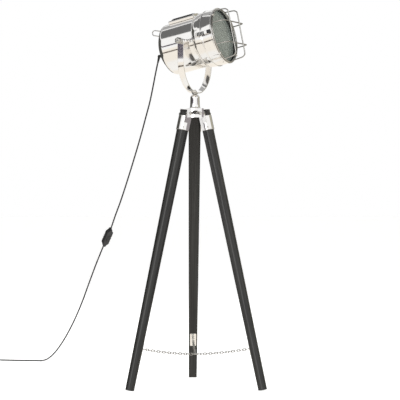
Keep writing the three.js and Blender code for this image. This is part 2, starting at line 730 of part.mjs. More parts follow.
const yoke = new THREE.Group();
yoke.rotation.z = PAN * DEG;
lamp.add(yoke);
piece(yoke, 'yoke_strap', yokeStrap(), MATERIALS.nickel);

const head = new THREE.Group();
head.position.z = PIVOT_HEIGHT;
head.rotation.y = -TILT * DEG;
yoke.add(head);

const level = new THREE.Group();
level.position.z = PIVOT_HEIGHT;
yoke.add(level);
for (const [end, side] of [['near', -1], ['far', 1]]) {
  const face = YOKE_RADIUS + GAP;
  piece(level, `tilt_knob_${end}`, tiltKnob(side), MATERIALS.nickel);
  piece(level, `tilt_washer_${end}`, ring(face, face + 1.4, 11, PIVOT.stud + GAP, side), MATERIALS.steel);
  piece(head, `tilt_stud_${end}`, tiltStud(side), MATERIALS.steel);
  const spacer = ring(CAN_RADIUS + 0.4, PIVOT.arm - GAP, PIVOT.spacer, PIVOT.stud + GAP, side);
  piece(head, `tilt_spacer_${end}`, spacer, MATERIALS.nickel);
}

piece(head, 'rear_housing', rearHousing(), MATERIALS.nickel);
piece(head, 'front_barrel', frontBarrel(), MATERIALS.nickel);
piece(head, 'vent_hood', ventHood(), MATERIALS.nickel);
piece(head, 'rear_loop', rearLoop(), MATERIALS.nickel);
piece(head, 'cord_gland', cordGland(), MATERIALS.black);
piece(head, 'strain_relief', strainRelief(), MATERIALS.rubber);
piece(head, 'holder_bracket', holderBracket(), MATERIALS.steel);
piece(head, 'lamp_holder', lampHolder(), MATERIALS.black);
piece(head, 'bulb', bulb(), MATERIALS.white);
piece(head, 'reflector', reflector(), MATERIALS.mirror);
piece(head, 'hinge_leaf_fixed', hingeLeafFixed(), MATERIALS.nickel);
piece(head, 'latch_base', latchBase(), MATERIALS.nickel);
piece(head, 'latch_lever', latchLever(), MATERIALS.nickel);

piece(head, 'door_ring', doorRing(), MATERIALS.nickel);
piece(head, 'lens_gasket', lensGasket(), MATERIALS.rubber);
piece(head, 'lens', lens(), MATERIALS.glass);
piece(head, 'wire_cage', wireCage(), MATERIALS.nickel);
piece(head, 'hinge_leaf_door', hingeLeafDoor(), MATERIALS.nickel);
piece(head, 'hinge_pin_door', hingePinDoor(), MATERIALS.steel);
piece(head, 'latch_catch', latchCatch(), MATERIALS.nickel);

piece(cords, 'cord_upper', cordTube(UPPER_ROUTE, 26), MATERIALS.rubber);
piece(cords, 'cord_lower', cordTube(LOWER_ROUTE, 50), MATERIALS.rubber);
piece(cords, 'cord_coil', cordCoil(), MATERIALS.rubber);
piece(cords, 'cord_tail', cordTube(TAIL_ROUTE, 3), MATERIALS.rubber);
const inline = switchFrame();
piece(inline, 'switch_base', switchBase(), MATERIALS.black);
piece(inline, 'switch_cover', switchCover(), MATERIALS.black);
piece(inline, 'switch_rocker', switchRocker(), MATERIALS.black);
piece(cords, 'plug_body', plugBody(), MATERIALS.black);
piece(cords, 'plug_pin_1', plugPin(-1), MATERIALS.brass);
piece(cords, 'plug_pin_2', plugPin(1), MATERIALS.brass);

const middle = new THREE.Box3().setFromObject(lamp, true).getCenter(new THREE.Vector3());
const floorLamp = new THREE.Group();
floorLamp.add(lamp, cords);
floorLamp.position.set(-middle.x, -middle.y, 0);

export default floorLamp;
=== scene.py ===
"""A tripod floor lamp with a searchlight head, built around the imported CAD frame. Metres, +Z up.

Lengths inside a piece are in millimetres in that piece's own frame, and new_piece() scales them.
"""

import json
import math

import bmesh
import bpy
from mathutils import Matrix, Vector


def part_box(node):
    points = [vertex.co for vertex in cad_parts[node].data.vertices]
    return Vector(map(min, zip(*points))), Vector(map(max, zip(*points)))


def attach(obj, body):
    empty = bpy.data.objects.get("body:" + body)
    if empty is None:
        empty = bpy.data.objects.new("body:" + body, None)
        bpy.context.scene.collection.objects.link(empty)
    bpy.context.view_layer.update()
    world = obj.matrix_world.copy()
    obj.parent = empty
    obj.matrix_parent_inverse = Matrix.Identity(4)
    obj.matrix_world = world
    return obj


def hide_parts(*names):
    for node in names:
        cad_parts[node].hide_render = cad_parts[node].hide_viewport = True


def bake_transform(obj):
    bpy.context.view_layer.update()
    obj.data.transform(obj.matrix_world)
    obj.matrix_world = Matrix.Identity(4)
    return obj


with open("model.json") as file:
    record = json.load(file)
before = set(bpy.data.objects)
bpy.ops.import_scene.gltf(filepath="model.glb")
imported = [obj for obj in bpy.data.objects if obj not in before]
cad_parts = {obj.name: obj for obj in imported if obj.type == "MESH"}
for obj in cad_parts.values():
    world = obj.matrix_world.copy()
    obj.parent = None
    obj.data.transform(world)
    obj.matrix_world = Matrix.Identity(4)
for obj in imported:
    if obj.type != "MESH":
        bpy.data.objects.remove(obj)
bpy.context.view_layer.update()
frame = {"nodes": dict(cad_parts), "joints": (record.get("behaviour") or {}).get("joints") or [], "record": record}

MM = 0.001
SHARP = math.radians(32)
SIDES = ("left", "right", "back")
scene = bpy.context.scene
NODES = frame["nodes"]
JOINTS = {joint["name"]: joint for joint in frame["joints"]}


# ---- frames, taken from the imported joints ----


def centre(node):
    low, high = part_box(node)
    return (low + high) / 2


def frame_of(origin, x, y, z):
    """A matrix with these axes as its columns."""
    return Matrix.Translation(origin) @ Matrix((x, y, z)).transposed().to_4x4()


UP = Vector((0, 0, 1))
AXIS = centre("pan_washer")
AXIS.z = 0  # foot of the tripod's own axis, on the floor
PIVOT = Vector(JOINTS["head_tilt"]["pos_m"])
FAR_SIDE = -Vector(JOINTS["head_tilt"]["axis"]).normalized()
HEAD_UP = Vector(JOINTS["door_swing"]["axis"]).normalized()
HEAD = frame_of(PIVOT, FAR_SIDE.cross(HEAD_UP), FAR_SIDE, HEAD_UP)
YOKE = frame_of(AXIS, FAR_SIDE.cross(UP), FAR_SIDE, UP)
HUB = Matrix.Translation(AXIS)


def leg_frame(side):
    """Origin on the hinge, +X outwards, +Z up the leg."""
    joint = JOINTS[f"leg_{side}_fold"]
    tilt = math.radians(joint["range_deg"][1])
    across = Vector(joint["axis"]).normalized()
    out = across.cross(UP)
    up_leg = UP * math.cos(tilt) - out * math.sin(tilt)
    return frame_of(Vector(joint["pos_m"]), across.cross(up_leg), across, up_leg)


# ---- geometry ----


def arc(along, radius, r, start, end, steps):
    """Points of an arc in a profile, angles in degrees."""
    turns = [math.radians(start + (end - start) * i / steps) for i in range(steps + 1)]
    return [(along + r * math.cos(a), radius + r * math.sin(a)) for a in turns]


def polar(degrees, radius=1):
    return radius * math.cos(math.radians(degrees)), radius * math.sin(math.radians(degrees))


def soften(points, size, steps=4, closed=True):
    """Rounds the corners of an outline, each over at most a length of size along its two sides."""
    points = [Vector(p).to_2d() for p in points]
    rounded = []
    for i, corner in enumerate(points):
        if not closed and i in (0, len(points) - 1):
            rounded.append(corner)
            continue
        before = points[i - 1] - corner
        after = points[(i + 1) % len(points)] - corner
        start = corner + before.normalized() * min(size, before.length * 0.45)
        end = corner + after.normalized() * min(size, after.length * 0.45)
        for step in range(steps + 1):
            t = step / steps
            rounded.append(start * (1 - t) ** 2 + corner * 2 * t * (1 - t) + end * t * t)
    return rounded


def turned(profile, segments=96):
    """A solid of revolution about Z, from a closed profile of (along, radius)."""
    bm = bmesh.new()
    turns = [2 * math.pi * i / segments for i in range(segments)]
    rings = []
    for along, radius in profile:
        if radius < 1e-6:
            rings.append([bm.verts.new((0, 0, along))] * segments)
        else:
            rings.append([bm.verts.new((radius * math.cos(a), radius * math.sin(a), along)) for a in turns])
    for low, high in zip(rings, rings[1:] + rings[:1]):
        for i in range(segments):
            j = (i + 1) % segments
            corners = list(dict.fromkeys([low[i], low[j], high[j], high[i]]))
            if len(corners) > 2:
                bm.faces.new(corners)
    return bm


def moved(bm, matrix):
    bm.transform(matrix)
    return bm


def turn(degrees, axis):
    return Matrix.Rotation(math.radians(degrees), 4, axis)


def shift(x=0, y=0, z=0):
    return Matrix.Translation((x, y, z))


def turned_x(profile, segments=96):
    """The same about X."""
    return moved(turned(profile, segments), turn(90, "Y"))


def turned_y(profile, side, segments=48):
    """The same about Y, measured outwards on one side: -1 near, 1 far."""
    return moved(turned(profile, segments), turn(-90 * side, "X"))


def skin(bm, rings, closed=False):
    """Joins rings of vertices into a surface, with a face over each end unless it is closed."""
    pairs = list(zip(rings, rings[1:]))
    if closed:
        pairs.append((rings[-1], rings[0]))
    else:
        bm.faces.new(rings[0][::-1])
        bm.faces.new(rings[-1])
    for low, high in pairs:
        for i, corner in enumerate(low):
            j = (i + 1) % len(low)
            bm.faces.new((corner, low[j], high[j], high[i]))
    return bm


def prism(outline, low, high):
    """An outline in XY extruded from low to high along Z."""
    bm = bmesh.new()
    return skin(bm, [[bm.verts.new((x, y, z)) for x, y in outline] for z in (low, high)])


def block(x, y, z, width, depth, height):
    return moved(prism([(-1, -1), (1, -1), (1, 1), (-1, 1)], -1, 1),
                 shift(x, y, z) @ Matrix.Diagonal((width / 2, depth / 2, height / 2, 1)))


def rod(radius, low, high, segments=24):
    return prism(arc(0, 0, radius, 0, 360 * (1 - 1 / segments), segments - 1), low, high)


def joined(*parts):
    """One bmesh with the pieces of several, which are used up."""
    whole = bmesh.new()
    for part in parts:
        mesh = bpy.data.meshes.new("part")
        part.to_mesh(mesh)
        part.free()
        whole.from_mesh(mesh)
        bpy.data.meshes.remove(mesh)
    return whole


def spline(points, steps):
    """Points along a centripetal Catmull-Rom curve through these."""
    points = [Vector(p) for p in points]
    ends = [points[0] * 2 - points[1], *points, points[-1] * 2 - points[-2]]
    line = [points[0]]
    for a, b, c, d in zip(ends, ends[1:], ends[2:], ends[3:]):
        ta = 0.0
        tb = ta + max((b - a).length, 1e-9) ** 0.5
        tc = tb + max((c - b).length, 1e-9) ** 0.5
        td = tc + max((d - c).length, 1e-9) ** 0.5
        for i in range(1, steps + 1):
            t = tb + (tc - tb) * i / steps
            ab = a.lerp(b, (t - ta) / (tb - ta))
            bc = b.lerp(c, (t - tb) / (tc - tb))
            cd = c.lerp(d, (t - tc) / (td - tc))
            ac = ab.lerp(bc, (t - ta) / (tc - ta))
            bd = bc.lerp(cd, (t - tb) / (td - tb))
            line.append(ac.lerp(bd, (t - tb) / (tc - tb)))
    return line


def swept(line, radius, sides=12, closed=False):
    """A round bar along a line; its section is carried along without twist."""
    bm = bmesh.new()
    line = [Vector(p) for p in line]
    count = len(line)
    rings = []
    normal = None
    for i, point in enumerate(line):
        before = line[i - 1] if closed or i else point
        after = line[(i + 1) % count] if closed or i < count - 1 else point
        along = (after - before).normalized()
        if normal is None:
            normal = along.orthogonal().normalized()
        normal = (normal - along * normal.dot(along)).normalized()
        other = along.cross(normal)
        ring = []
        for k in range(sides):
            a = 2 * math.pi * k / sides
            ring.append(bm.verts.new(point + (normal * math.cos(a) + other * math.sin(a)) * radius))
        rings.append(ring)
    return skin(bm, rings, closed)


# ---- objects ----


def finish_mesh(mesh, material, place=Matrix.Identity(4)):
    """Smooth shading, a finish that follows the piece's own axes, and the mesh put in its place."""
    own = mesh.attributes.new("own_place", "FLOAT_VECTOR", "POINT")
    for vertex, value in zip(mesh.vertices, own.data):
        value.vector = vertex.co
    mesh.transform(place)
    mesh.materials.append(material)
    mesh.polygons.foreach_set("use_smooth", [True] * len(mesh.polygons))
    mesh.set_sharp_from_angle(angle=SHARP)


def to_object(name, bm):
    bmesh.ops.recalc_face_normals(bm, faces=bm.faces)
    mesh = bpy.data.meshes.new(name)
    bm.to_mesh(mesh)
    bm.free()
    obj = bpy.data.objects.new(name, mesh)
    scene.collection.objects.link(obj)
    return obj


def carved(base, *cutters):
    """The first bmesh with the others cut out of it."""
    obj = to_object("base", base)
    tools = [to_object("cutter", cutter) for cutter in cutters]
    for tool in tools:
        modifier = obj.modifiers.new("cut", "BOOLEAN")
        modifier.operation = "DIFFERENCE"
        modifier.solver = "EXACT"
        modifier.object = tool
    evaluated = obj.evaluated_get(bpy.context.evaluated_depsgraph_get())
    result = bmesh.new()
    result.from_mesh(evaluated.to_mesh())
    for used in [obj, *tools]:
        mesh = used.data
        bpy.data.objects.remove(used)
        bpy.data.meshes.remove(mesh)
    return result


def new_piece(name, bm, place, body, slot, bevel, stands_for=(), look=None):
    """A finished piece, modelled in millimetres in the frame place, that rides on a CAD body."""
    bmesh.ops.scale(bm, vec=(MM, MM, MM), verts=bm.verts)
    obj = to_object(name, bm)
    if bevel:
        modifier = obj.modifiers.new("edges", "BEVEL")
        modifier.width = bevel * MM
        modifier.segments = 2
        modifier.limit_method = "ANGLE"
        modifier.angle_limit = SHARP
        modifier.harden_normals = True
    finish_mesh(obj.data, MATERIALS[look or slot], place)
    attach(obj, body)
    if stands_for:
        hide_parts(*stands_for)
    return obj


# ---- materials ----

SURFACE = "Principled BSDF"
EVENLY = (1, 1, 1)


def shader(name, **values):
    material = bpy.data.materials.new(name)
    material.use_nodes = True
    tree = material.node_tree
    for key, value in values.items():
        tree.nodes[SURFACE].inputs[key.replace("_", " ")].default_value = value
    return material, tree


def noise(tree, stretch, scale, detail=3.0, roughness=0.5):
    """Noise over places in the piece's own frame, in metres, multiplied by stretch."""
    place = tree.nodes.new("ShaderNodeAttribute")
    place.attribute_name = "own_place"
    mapping = tree.nodes.new("ShaderNodeMapping")
    mapping.inputs["Scale"].default_value = stretch
    tree.links.new(place.outputs["Vector"], mapping.inputs["Vector"])
    node = tree.nodes.new("ShaderNodeTexNoise")
    node.inputs["Scale"].default_value = scale
    node.inputs["Detail"].default_value = detail
    node.inputs["Roughness"].default_value = roughness
    tree.links.new(mapping.outputs["Vector"], node.inputs["Vector"])
    return node.outputs["Fac"]


def ramp(tree, value, *stops):
    """Colours at positions: (position, colour) pairs."""
    node = tree.nodes.new("ShaderNodeValToRGB")
    elements = node.color_ramp.elements
    while len(elements) < len(stops):
        elements.new(0.5)
    for element, (position, colour) in zip(elements, stops):
        element.position = position
        element.color = (*colour, 1)
    tree.links.new(value, node.inputs["Fac"])
    return node.outputs["Color"]


def colour_of(value):
    """A colour as it is, or a number as a grey."""
    return value if isinstance(value, (tuple, list)) else (value, value, value)


def feed(tree, socket, value, low, high, start=0.3, end=0.7):
    """Takes a socket of the shader from low to high as a value goes from start to end."""
    colours = ramp(tree, value, (start, colour_of(low)), (end, colour_of(high)))
    tree.links.new(colours, tree.nodes[SURFACE].inputs[socket])


def bump(tree, height, strength, distance):
    node = tree.nodes.new("ShaderNodeBump")
    node.inputs["Strength"].default_value = strength
    node.inputs["Distance"].default_value = distance
    tree.links.new(height, node.inputs["Height"])
    tree.links.new(node.outputs["Normal"], tree.nodes[SURFACE].inputs["Normal"])


def polished_nickel():
    """Plated metal: a clear mirror with faint wipe marks and a slow ripple."""
    material, tree = shader("polished_nickel", Metallic=1.0)
    cloud = noise(tree, EVENLY, 14, 4)
    feed(tree, "Base Color", cloud, (0.87, 0.855, 0.835), (0.92, 0.91, 0.895))
    wipes = noise(tree, (30, 30, 160), 3, 5, 0.65)
    feed(tree, "Roughness", wipes, 0.055, 0.14, 0.35, 0.75)
    bump(tree, noise(tree, EVENLY, 9, 2), 0.12, 0.001)
    return material


def plated_wire():
    """The same plating on drawn wire, given a darker grey colour as painted shade for the darker reflections that
    thin round wires show, with draw marks along it.
    """
    material, tree = shader("plated_wire", Metallic=1.0)
    marks = noise(tree, (300, 300, 300), 1, 4)
    # painted shade: a base colour darker than the plating's own, standing in for darker reflections
    feed(tree, "Base Color", marks, (0.40, 0.39, 0.37), (0.58, 0.57, 0.54))
    feed(tree, "Roughness", marks, 0.12, 0.24)
    bump(tree, marks, 0.15, 0.0001)
    return material


def bright_steel():
    """Drawn steel: duller, with fine scratches."""
    material, tree = shader("steel", Metallic=1.0)
    lines = noise(tree, (900, 900, 90), 1, 4)
    feed(tree, "Base Color", lines, (0.52, 0.51, 0.49), (0.66, 0.65, 0.62))
    feed(tree, "Roughness", lines, 0.2, 0.34)
    bump(tree, lines, 0.2, 0.0001)
    return material


def black_wood():
    """Stained wood under satin lacquer: long fine grain, open pores and slightly worn tone."""
    material, tree = shader("black_wood", Coat_Weight=0.75, Coat_Roughness=0.16, Coat_IOR=1.45,
                                        Specular_IOR_Level=0.15)
    figure = noise(tree, (130, 130, 3), 1, 6, 0.65)
    grain = ramp(tree, figure, (0.32, (0.004, 0.004, 0.0038)), (0.5, (0.013, 0.0126, 0.0118)),
                 (0.7, (0.03, 0.0285, 0.026)))
    tree.links.new(grain, tree.nodes[SURFACE].inputs["Base Color"])
    pores = noise(tree, (600, 600, 12), 1, 3, 0.7)
    feed(tree, "Roughness", pores, 0.58, 0.42)
    bump(tree, pores, 0.5, 0.0004)
    return material


def moulded(name, colour, roughness, grain):
    """Moulded plastic or rubber with a fine spark-eroded grain."""
    material, tree = shader(name)
    tone = noise(tree, EVENLY, 60, 3)
    low = [c * 0.8 for c in colour]
    high = [c * 1.3 for c in colour]
    feed(tree, "Base Color", tone, low, high)
    texture = noise(tree, EVENLY, grain, 2)
    feed(tree, "Roughness", texture, roughness - 0.06, roughness + 0.08)
    bump(tree, texture, 0.25, 0.0001)
    return material


def plug_brass():
    material, tree = shader("plug_brass", Metallic=1.0)
    marks = noise(tree, (80, 600, 600), 1, 4)
    feed(tree, "Base Color", marks, (0.72, 0.55, 0.28), (0.84, 0.68, 0.4))
    feed(tree, "Roughness", marks, 0.18, 0.3)
    return material


def bulb_glass():
    """Opal glass."""
    material, tree = shader("bulb_glass", Subsurface_Weight=0.2, Coat_Weight=0.6,
                                        Coat_Roughness=0.05)
    tone = noise(tree, EVENLY, 30, 2)
    feed(tree, "Base Color", tone, (0.82, 0.81, 0.77), (0.9, 0.89, 0.86))
    feed(tree, "Roughness", tone, 0.2, 0.3)
    return material


def lens_glass():
    """Grey-green glass, a little cloudy, with fine radial drawing marks."""
    material, tree = shader("lens_glass", Transmission_Weight=0.4, IOR=1.5)
    tone = noise(tree, EVENLY, 12, 3)
    feed(tree, "Base Color", tone, (0.27, 0.305, 0.275), (0.34, 0.375, 0.34))
    feed(tree, "Roughness", noise(tree, EVENLY, 90, 3), 0.1, 0.2)
    bump(tree, noise(tree, (1, 40, 40), 2, 2), 0.15, 0.0006)
    return material


def reflector_mirror():
    material, tree = shader("reflector_mirror", Metallic=1.0)
    feed(tree, "Base Color", noise(tree, EVENLY, 40, 3), 0.82, 0.9)
    rings = noise(tree, (900, 20, 20), 1, 2)
    feed(tree, "Roughness", rings, 0.12, 0.24)
    bump(tree, rings, 0.2, 0.0002)
    return material


MATERIALS = {
    "polished_nickel": polished_nickel(),
    "steel": bright_steel(),
    "plated_wire": plated_wire(),
    "black_wood": black_wood(),
    "black_plastic": moulded("black_plastic", (0.014, 0.014, 0.015), 0.38, 1500),
    "black_rubber": moulded("black_rubber", (0.011, 0.011, 0.011), 0.55, 900),
    "plug_brass": plug_brass(),
    "bulb_glass": bulb_glass(),
    "lens_glass": lens_glass(),
    "reflector_mirror": reflector_mirror(),
}

# ---- camera ----

CAMERA_SIDE = 0.0203  # from the tripod's axis, along X
CAMERA_DISTANCE = 6.5
CAMERA_HEIGHT = 0.8
CAMERA_PITCH = math.radians(0.394)
CAMERA_LENS = 144.1

camera = bpy.data.objects.new("camera", bpy.data.cameras.new("camera"))
scene.collection.objects.link(camera)
camera.data.sensor_width = 36
camera.data.lens = CAMERA_LENS
camera.location = AXIS + Vector((CAMERA_SIDE, -CAMERA_DISTANCE, CAMERA_HEIGHT))
camera.rotation_euler = (math.pi / 2 - CAMERA_PITCH, 0, 0)
camera.data.clip_end = 200
scene.camera = camera

# ---- mains lead ----

CORD_RADIUS = 0.003
COIL = Vector((-0.985, 0.993, 0.0))
COIL_RADIUS = 0.031
COIL_TURNS = 2
COIL_STEPS = 24
SWITCH_CENTRE = Vector((-0.381, 0.426, 0.592))
SWITCH_ALONG = Vector((0.354, -0.54, 0.764)).normalized()
SWITCH_END = 0.0496

# Routes from the tripod's axis, read off the photo as the lead hangs and lies.
UPPER_ROUTE = [
    (-0.1531, 0.0743, 1.317), (-0.1578, 0.0775, 1.296), (-0.165, 0.087, 1.262), (-0.173, 0.106, 1.224),
    (-0.187, 0.132, 1.162), (-0.205, 0.157, 1.098), (-0.224, 0.186, 1.032), (-0.248, 0.224, 0.955),
    (-0.286, 0.281, 0.84), (-0.318, 0.33, 0.749), (-0.343, 0.368, 0.686),
    SWITCH_CENTRE + SWITCH_ALONG * SWITCH_END,
]
LOWER_ROUTE = [
    SWITCH_CENTRE - SWITCH_ALONG * SWITCH_END, (-0.436, 0.51, 0.468), (-0.468, 0.558, 0.388),
    (-0.506, 0.616, 0.292), (-0.548, 0.68, 0.202), (-0.597, 0.755, 0.116), (-0.644, 0.827, 0.052),
    (-0.685, 0.889, 0.015), (-0.714, 0.92, 0.0045), (-0.748, 0.934, 0.0032), (-0.79, 0.936, 0.0032),
    (-0.835, 0.941, 0.0032), (-0.88, 0.951, 0.0032), (-0.915, 0.958, 0.0032), (-0.945, 0.9615, 0.0032),
]
TAIL_ROUTE = [
    (-1.0058, 0.962, 0.009), (-1.018, 0.962, 0.0086), (-1.03, 0.962, 0.008), (-1.0397, 0.962, 0.0076),
]
TOP_POINTS = 4  # how many of the upper route's points are on the head's own stretch
UPPER_STEPS = 6
LOWER_STEPS = 4


def coil_points():
    """Turns from the lead's side, clockwise, the second lying on the first."""
    points = []
    for i in range(COIL_TURNS * COIL_STEPS + 1):
        turns = i / COIL_STEPS
        a = math.radians(-90 - 360 * turns)
        t = min(1.0, max(0.0, turns * 4 - 3))
        height = 0.0031 + 0.0059 * t * t * (3 - 2 * t)
        points.append(COIL + Vector((math.cos(a) * COIL_RADIUS, math.sin(a) * COIL_RADIUS, height)))
    return points


def lead(name, route, steps):
    """A round flexible tube along a route, with the points that it follows."""
    path = [AXIS + p for p in spline(route, steps)]
    obj = to_object(name, swept(path, CORD_RADIUS, 14))
    finish_mesh(obj.data, MATERIALS["black_rubber"])
    return obj, path


upper = spline(UPPER_ROUTE, UPPER_STEPS)
parting = UPPER_STEPS * (TOP_POINTS - 1)
lead_top, top_path = lead("lead_top", upper[: parting + 1], 1)
lead_upper, upper_path = lead("lead_upper", upper[parting:], 1)
lead_lower, lower_path = lead("lead_lower", LOWER_ROUTE + coil_points() + TAIL_ROUTE, LOWER_STEPS)

# ---- stage ----


def studio_world():
    """A white studio with a cream floor, a grey ceiling and dark flats, which only reflections show."""
    world = bpy.data.worlds.new("studio")
    world.use_nodes = True
    scene.world = world
    tree = world.node_tree
    place = tree.nodes.new("ShaderNodeTexCoord")
    parts = tree.nodes.new("ShaderNodeSeparateXYZ")
    tree.links.new(place.outputs["Generated"], parts.inputs[0])
    x, y, z = parts.outputs

    def combined(operation, a, b):
        node = tree.nodes.new("ShaderNodeMath")
        node.operation = operation
        tree.links.new(a, node.inputs[0])
        tree.links.new(b, node.inputs[1])
        return node.outputs[0]

    def rising(value, low, high):
        """0 below low and 1 above high; falls instead where low is the greater."""
        node = tree.nodes.new("ShaderNodeMapRange")
        node.inputs["From Min"].default_value = low
        node.inputs["From Max"].default_value = high
        tree.links.new(value, node.inputs["Value"])
        return node.outputs["Result"]

    def between(value, low, high, soft=0.04):
        return combined("MULTIPLY", rising(value, low, low + soft), rising(value, high, high - soft))

    def painted(under, colour, *masks):
        mask = masks[0]
        for other in masks[1:]:
            mask = combined("MULTIPLY", mask, other)
        node = tree.nodes.new("ShaderNodeMix")
        node.data_type = "RGBA"
        tree.links.new(mask, node.inputs["Factor"])
        tree.links.new(under, node.inputs["A"])
        node.inputs["B"].default_value = (*colour_of(colour), 1)
        return node.outputs["Result"]

    slope = combined("DIVIDE", y, z)  # overhead, how far back the ceiling is met
    above = rising(z, 0.57, 0.60)
    level = between(z, -0.5, 0.5)
    below, floor = (1.0, 0.99, 0.96), (1.0, 0.945, 0.86)
    light = ramp(tree, rising(z, -1, 1),
                 (0.0, below), (0.05, below), (0.1, floor), (0.43, floor), (0.46, colour_of(1.02)))
    # the ceiling: a dark part towards the front, then a lighter strip
    light = painted(light, 0.16, above, rising(slope, 0.47, 0.43))
    light = painted(light, 0.42, above, between(slope, 0.54, 1.35))
    # two dark edges, low and high, to the left and in front
    left_front = combined("MULTIPLY", rising(y, -0.1, -0.2), rising(x, -0.25, -0.35))
    light = painted(light, (0.11, 0.085, 0.065), between(z, -0.37, -0.27, 0.02), left_front)
    light = painted(light, (0.085, 0.07, 0.095), between(z, 0.055, 0.15, 0.015), left_front)
    # flats at the left and the right, and a warm panel beside the camera
    light = painted(light, (0.085, 0.085, 0.078), between(x, -1.1, -0.12), rising(y, -0.3, -0.22), level)
    light = painted(light, (0.13, 0.125, 0.12), between(x, 0.12, 0.64), rising(y, 0, 0.06), level)
    light = painted(light, (0.44, 0.42, 0.34), between(x, 0.62, 1.1), rising(y, -0.2, -0.12), level)
    light = painted(light, (0.32, 0.295, 0.305), rising(x, 0.78, 0.84), between(y, -0.62, -0.1),
                    between(z, -0.15, 0.18))
    # the strip light that the lacquer shows
    light = painted(light, 3.2, between(x, -0.5, -0.12, 0.06), rising(y, -0.7, -0.76),
                    between(z, -0.12, 0.45, 0.08))
    path = tree.nodes.new("ShaderNodeLightPath")
    backdrop = painted(light, 1.0, path.outputs["Is Camera Ray"])
    tree.links.new(backdrop, tree.nodes["Background"].inputs["Color"])


def studio_floor():
    material, _ = shader("floor", Roughness=0.9, Specular_IOR_Level=0.0, Base_Color=(0.8, 0.8, 0.79, 1),
                         Emission_Color=(1, 1, 1, 1), Emission_Strength=0.66)
    obj = to_object("floor", block(0, 0, -5, 80000, 80000, 10))
    obj.scale = (MM, MM, MM)
    obj.data.materials.append(material)
    obj.visible_glossy = False


def lamp_light(name, location, aim, size, power):
    """A soft square light of a size, aimed at a height above the origin, which reflections don't show."""
    data = bpy.data.lights.new(name, "AREA")
    data.size = size
    data.energy = power
    obj = bpy.data.objects.new(name, data)
    scene.collection.objects.link(obj)
    obj.location = location
    obj.rotation_euler = (UP * aim - obj.location).to_track_quat("-Z", "Y").to_euler()
    obj.visible_glossy = False


studio_world()
studio_floor()
lamp_light("key", (-2.2, -3.2, 3.2), 0.8, 2.5, 90)
lamp_light("fill", (3.0, -2.0, 2.4), 0.8, 2.5, 60)
lamp_light("back", (0.5, 3.5, 3.5), 0.6, 3.0, 60)
scene.view_settings.view_transform = "Standard"

# ---- placing pieces by the CAD nodes that they stand for ----

RECORD = frame["record"]
BODY_OF = {node: body for body, nodes in RECORD["behaviour"]["bodies"].items() for node in nodes}
SLOT_OF = {subpart["node"]: subpart["material_slot"] for subpart in RECORD["subparts"]}


def stand_in(name, bm, place, node, bevel=0.0, look=None):
    """A piece that takes the body and the slot of the CAD node it replaces."""
    return new_piece(name, bm, place, BODY_OF[node], SLOT_OF[node], bevel, (node,), look)


def fitting(name, bm, place, node, slot=None, bevel=0.0):
    """A small piece with no CAD node of its own, that rides with a neighbour."""
    return new_piece(name, bm, place, BODY_OF[node], slot or SLOT_OF[node], bevel)


def along_x(bm):
    """Turns a prism so that its outline lies in YZ and its length runs along X."""
    return moved(bm, Matrix(((0, 0, 1, 0), (1, 0, 0, 0), (0, 1, 0, 0), (0, 0, 0, 1))))


def along_y(bm):
    """Turns a prism so that its outline lies in XZ and its length runs along Y."""
    return moved(bm, Matrix(((1, 0, 0, 0), (0, 0, 1, 0), (0, 1, 0, 0), (0, 0, 0, 1))))


def screw(radius, height):
    """A domed screw head with a round driving recess, standing on Z = 0."""
    profile = [(0, 0), (0, radius), (height * 0.35, radius), (height * 0.8, radius * 0.72),
               (height, radius * 0.42), (height * 0.95, radius * 0.36), (height * 0.4, radius * 0.3),
               (height * 0.4, 0)]
    return turned(profile, 24)


def toward(x, y, z, direction):
    """Puts a piece that stands on Z = 0 at a point, standing along a direction."""
    return shift(x, y, z) @ Vector(direction).to_track_quat("Z", "Y").to_matrix().to_4x4()


def screws(name, place, node, radius, height, spots):
    """Screw heads of one size on a CAD node's body, at (x, y, z, direction) spots."""
    heads = [moved(screw(radius, height), toward(*spot)) for spot in spots]
    fitting(name, joined(*heads), place, node, "steel")


# ---- head: shells ----

CAN_RADIUS = 104
CAN_WALL = 1.5
CAN_FRONT = 46
DOME = {"centre": 7, "radius": 155, "edge": 36.87}
FILLET = {"along": -98, "centre": 82, "radius": 22}
BARREL_RADIUS = 113
HOOD = {"back": -76, "front": 37.4, "radius": 117, "half": 27, "foot": 104.4}
LOUVRE = {"back": -62, "front": 29, "half": 24, "fins": 15, "pitch": 5.8}
LOOP = {"x": -128, "z": 71, "half": 10.5, "length": 55, "rise": 20, "wire": 2}


def can_shell():
    inner = FILLET["radius"] - CAN_WALL
    inside = DOME["radius"] - CAN_WALL
    edge = 180 - DOME["edge"]
    profile = arc(DOME["centre"], 0, DOME["radius"], 180, edge, 24)
    profile += arc(FILLET["along"], FILLET["centre"], FILLET["radius"], 143, 90, 12)
    profile += [(CAN_FRONT, CAN_RADIUS), (CAN_FRONT, CAN_RADIUS - CAN_WALL)]
    profile += arc(FILLET["along"], FILLET["centre"], inner, 90, 143, 12)
    profile += arc(DOME["centre"], 0, inside, edge, 180, 24)
    stand_in("can_shell", turned_x(profile, 128), HEAD, "rear_housing")


def barrel_shell():
    profile = [
        (38, CAN_RADIUS + 0.3), (38, 106.2), (43, 106.4), (47, 108), (50, 110.6), (55, 111.6),
        (71, BARREL_RADIUS), (81.7, BARREL_RADIUS), (81.7, 111.5), (71, 111.5), (52, 109),
        (46.5, CAN_RADIUS + 0.3),
    ]
    stand_in("barrel_shell", turned_x(soften(profile, 1.6, 3), 128), HEAD, "front_barrel")


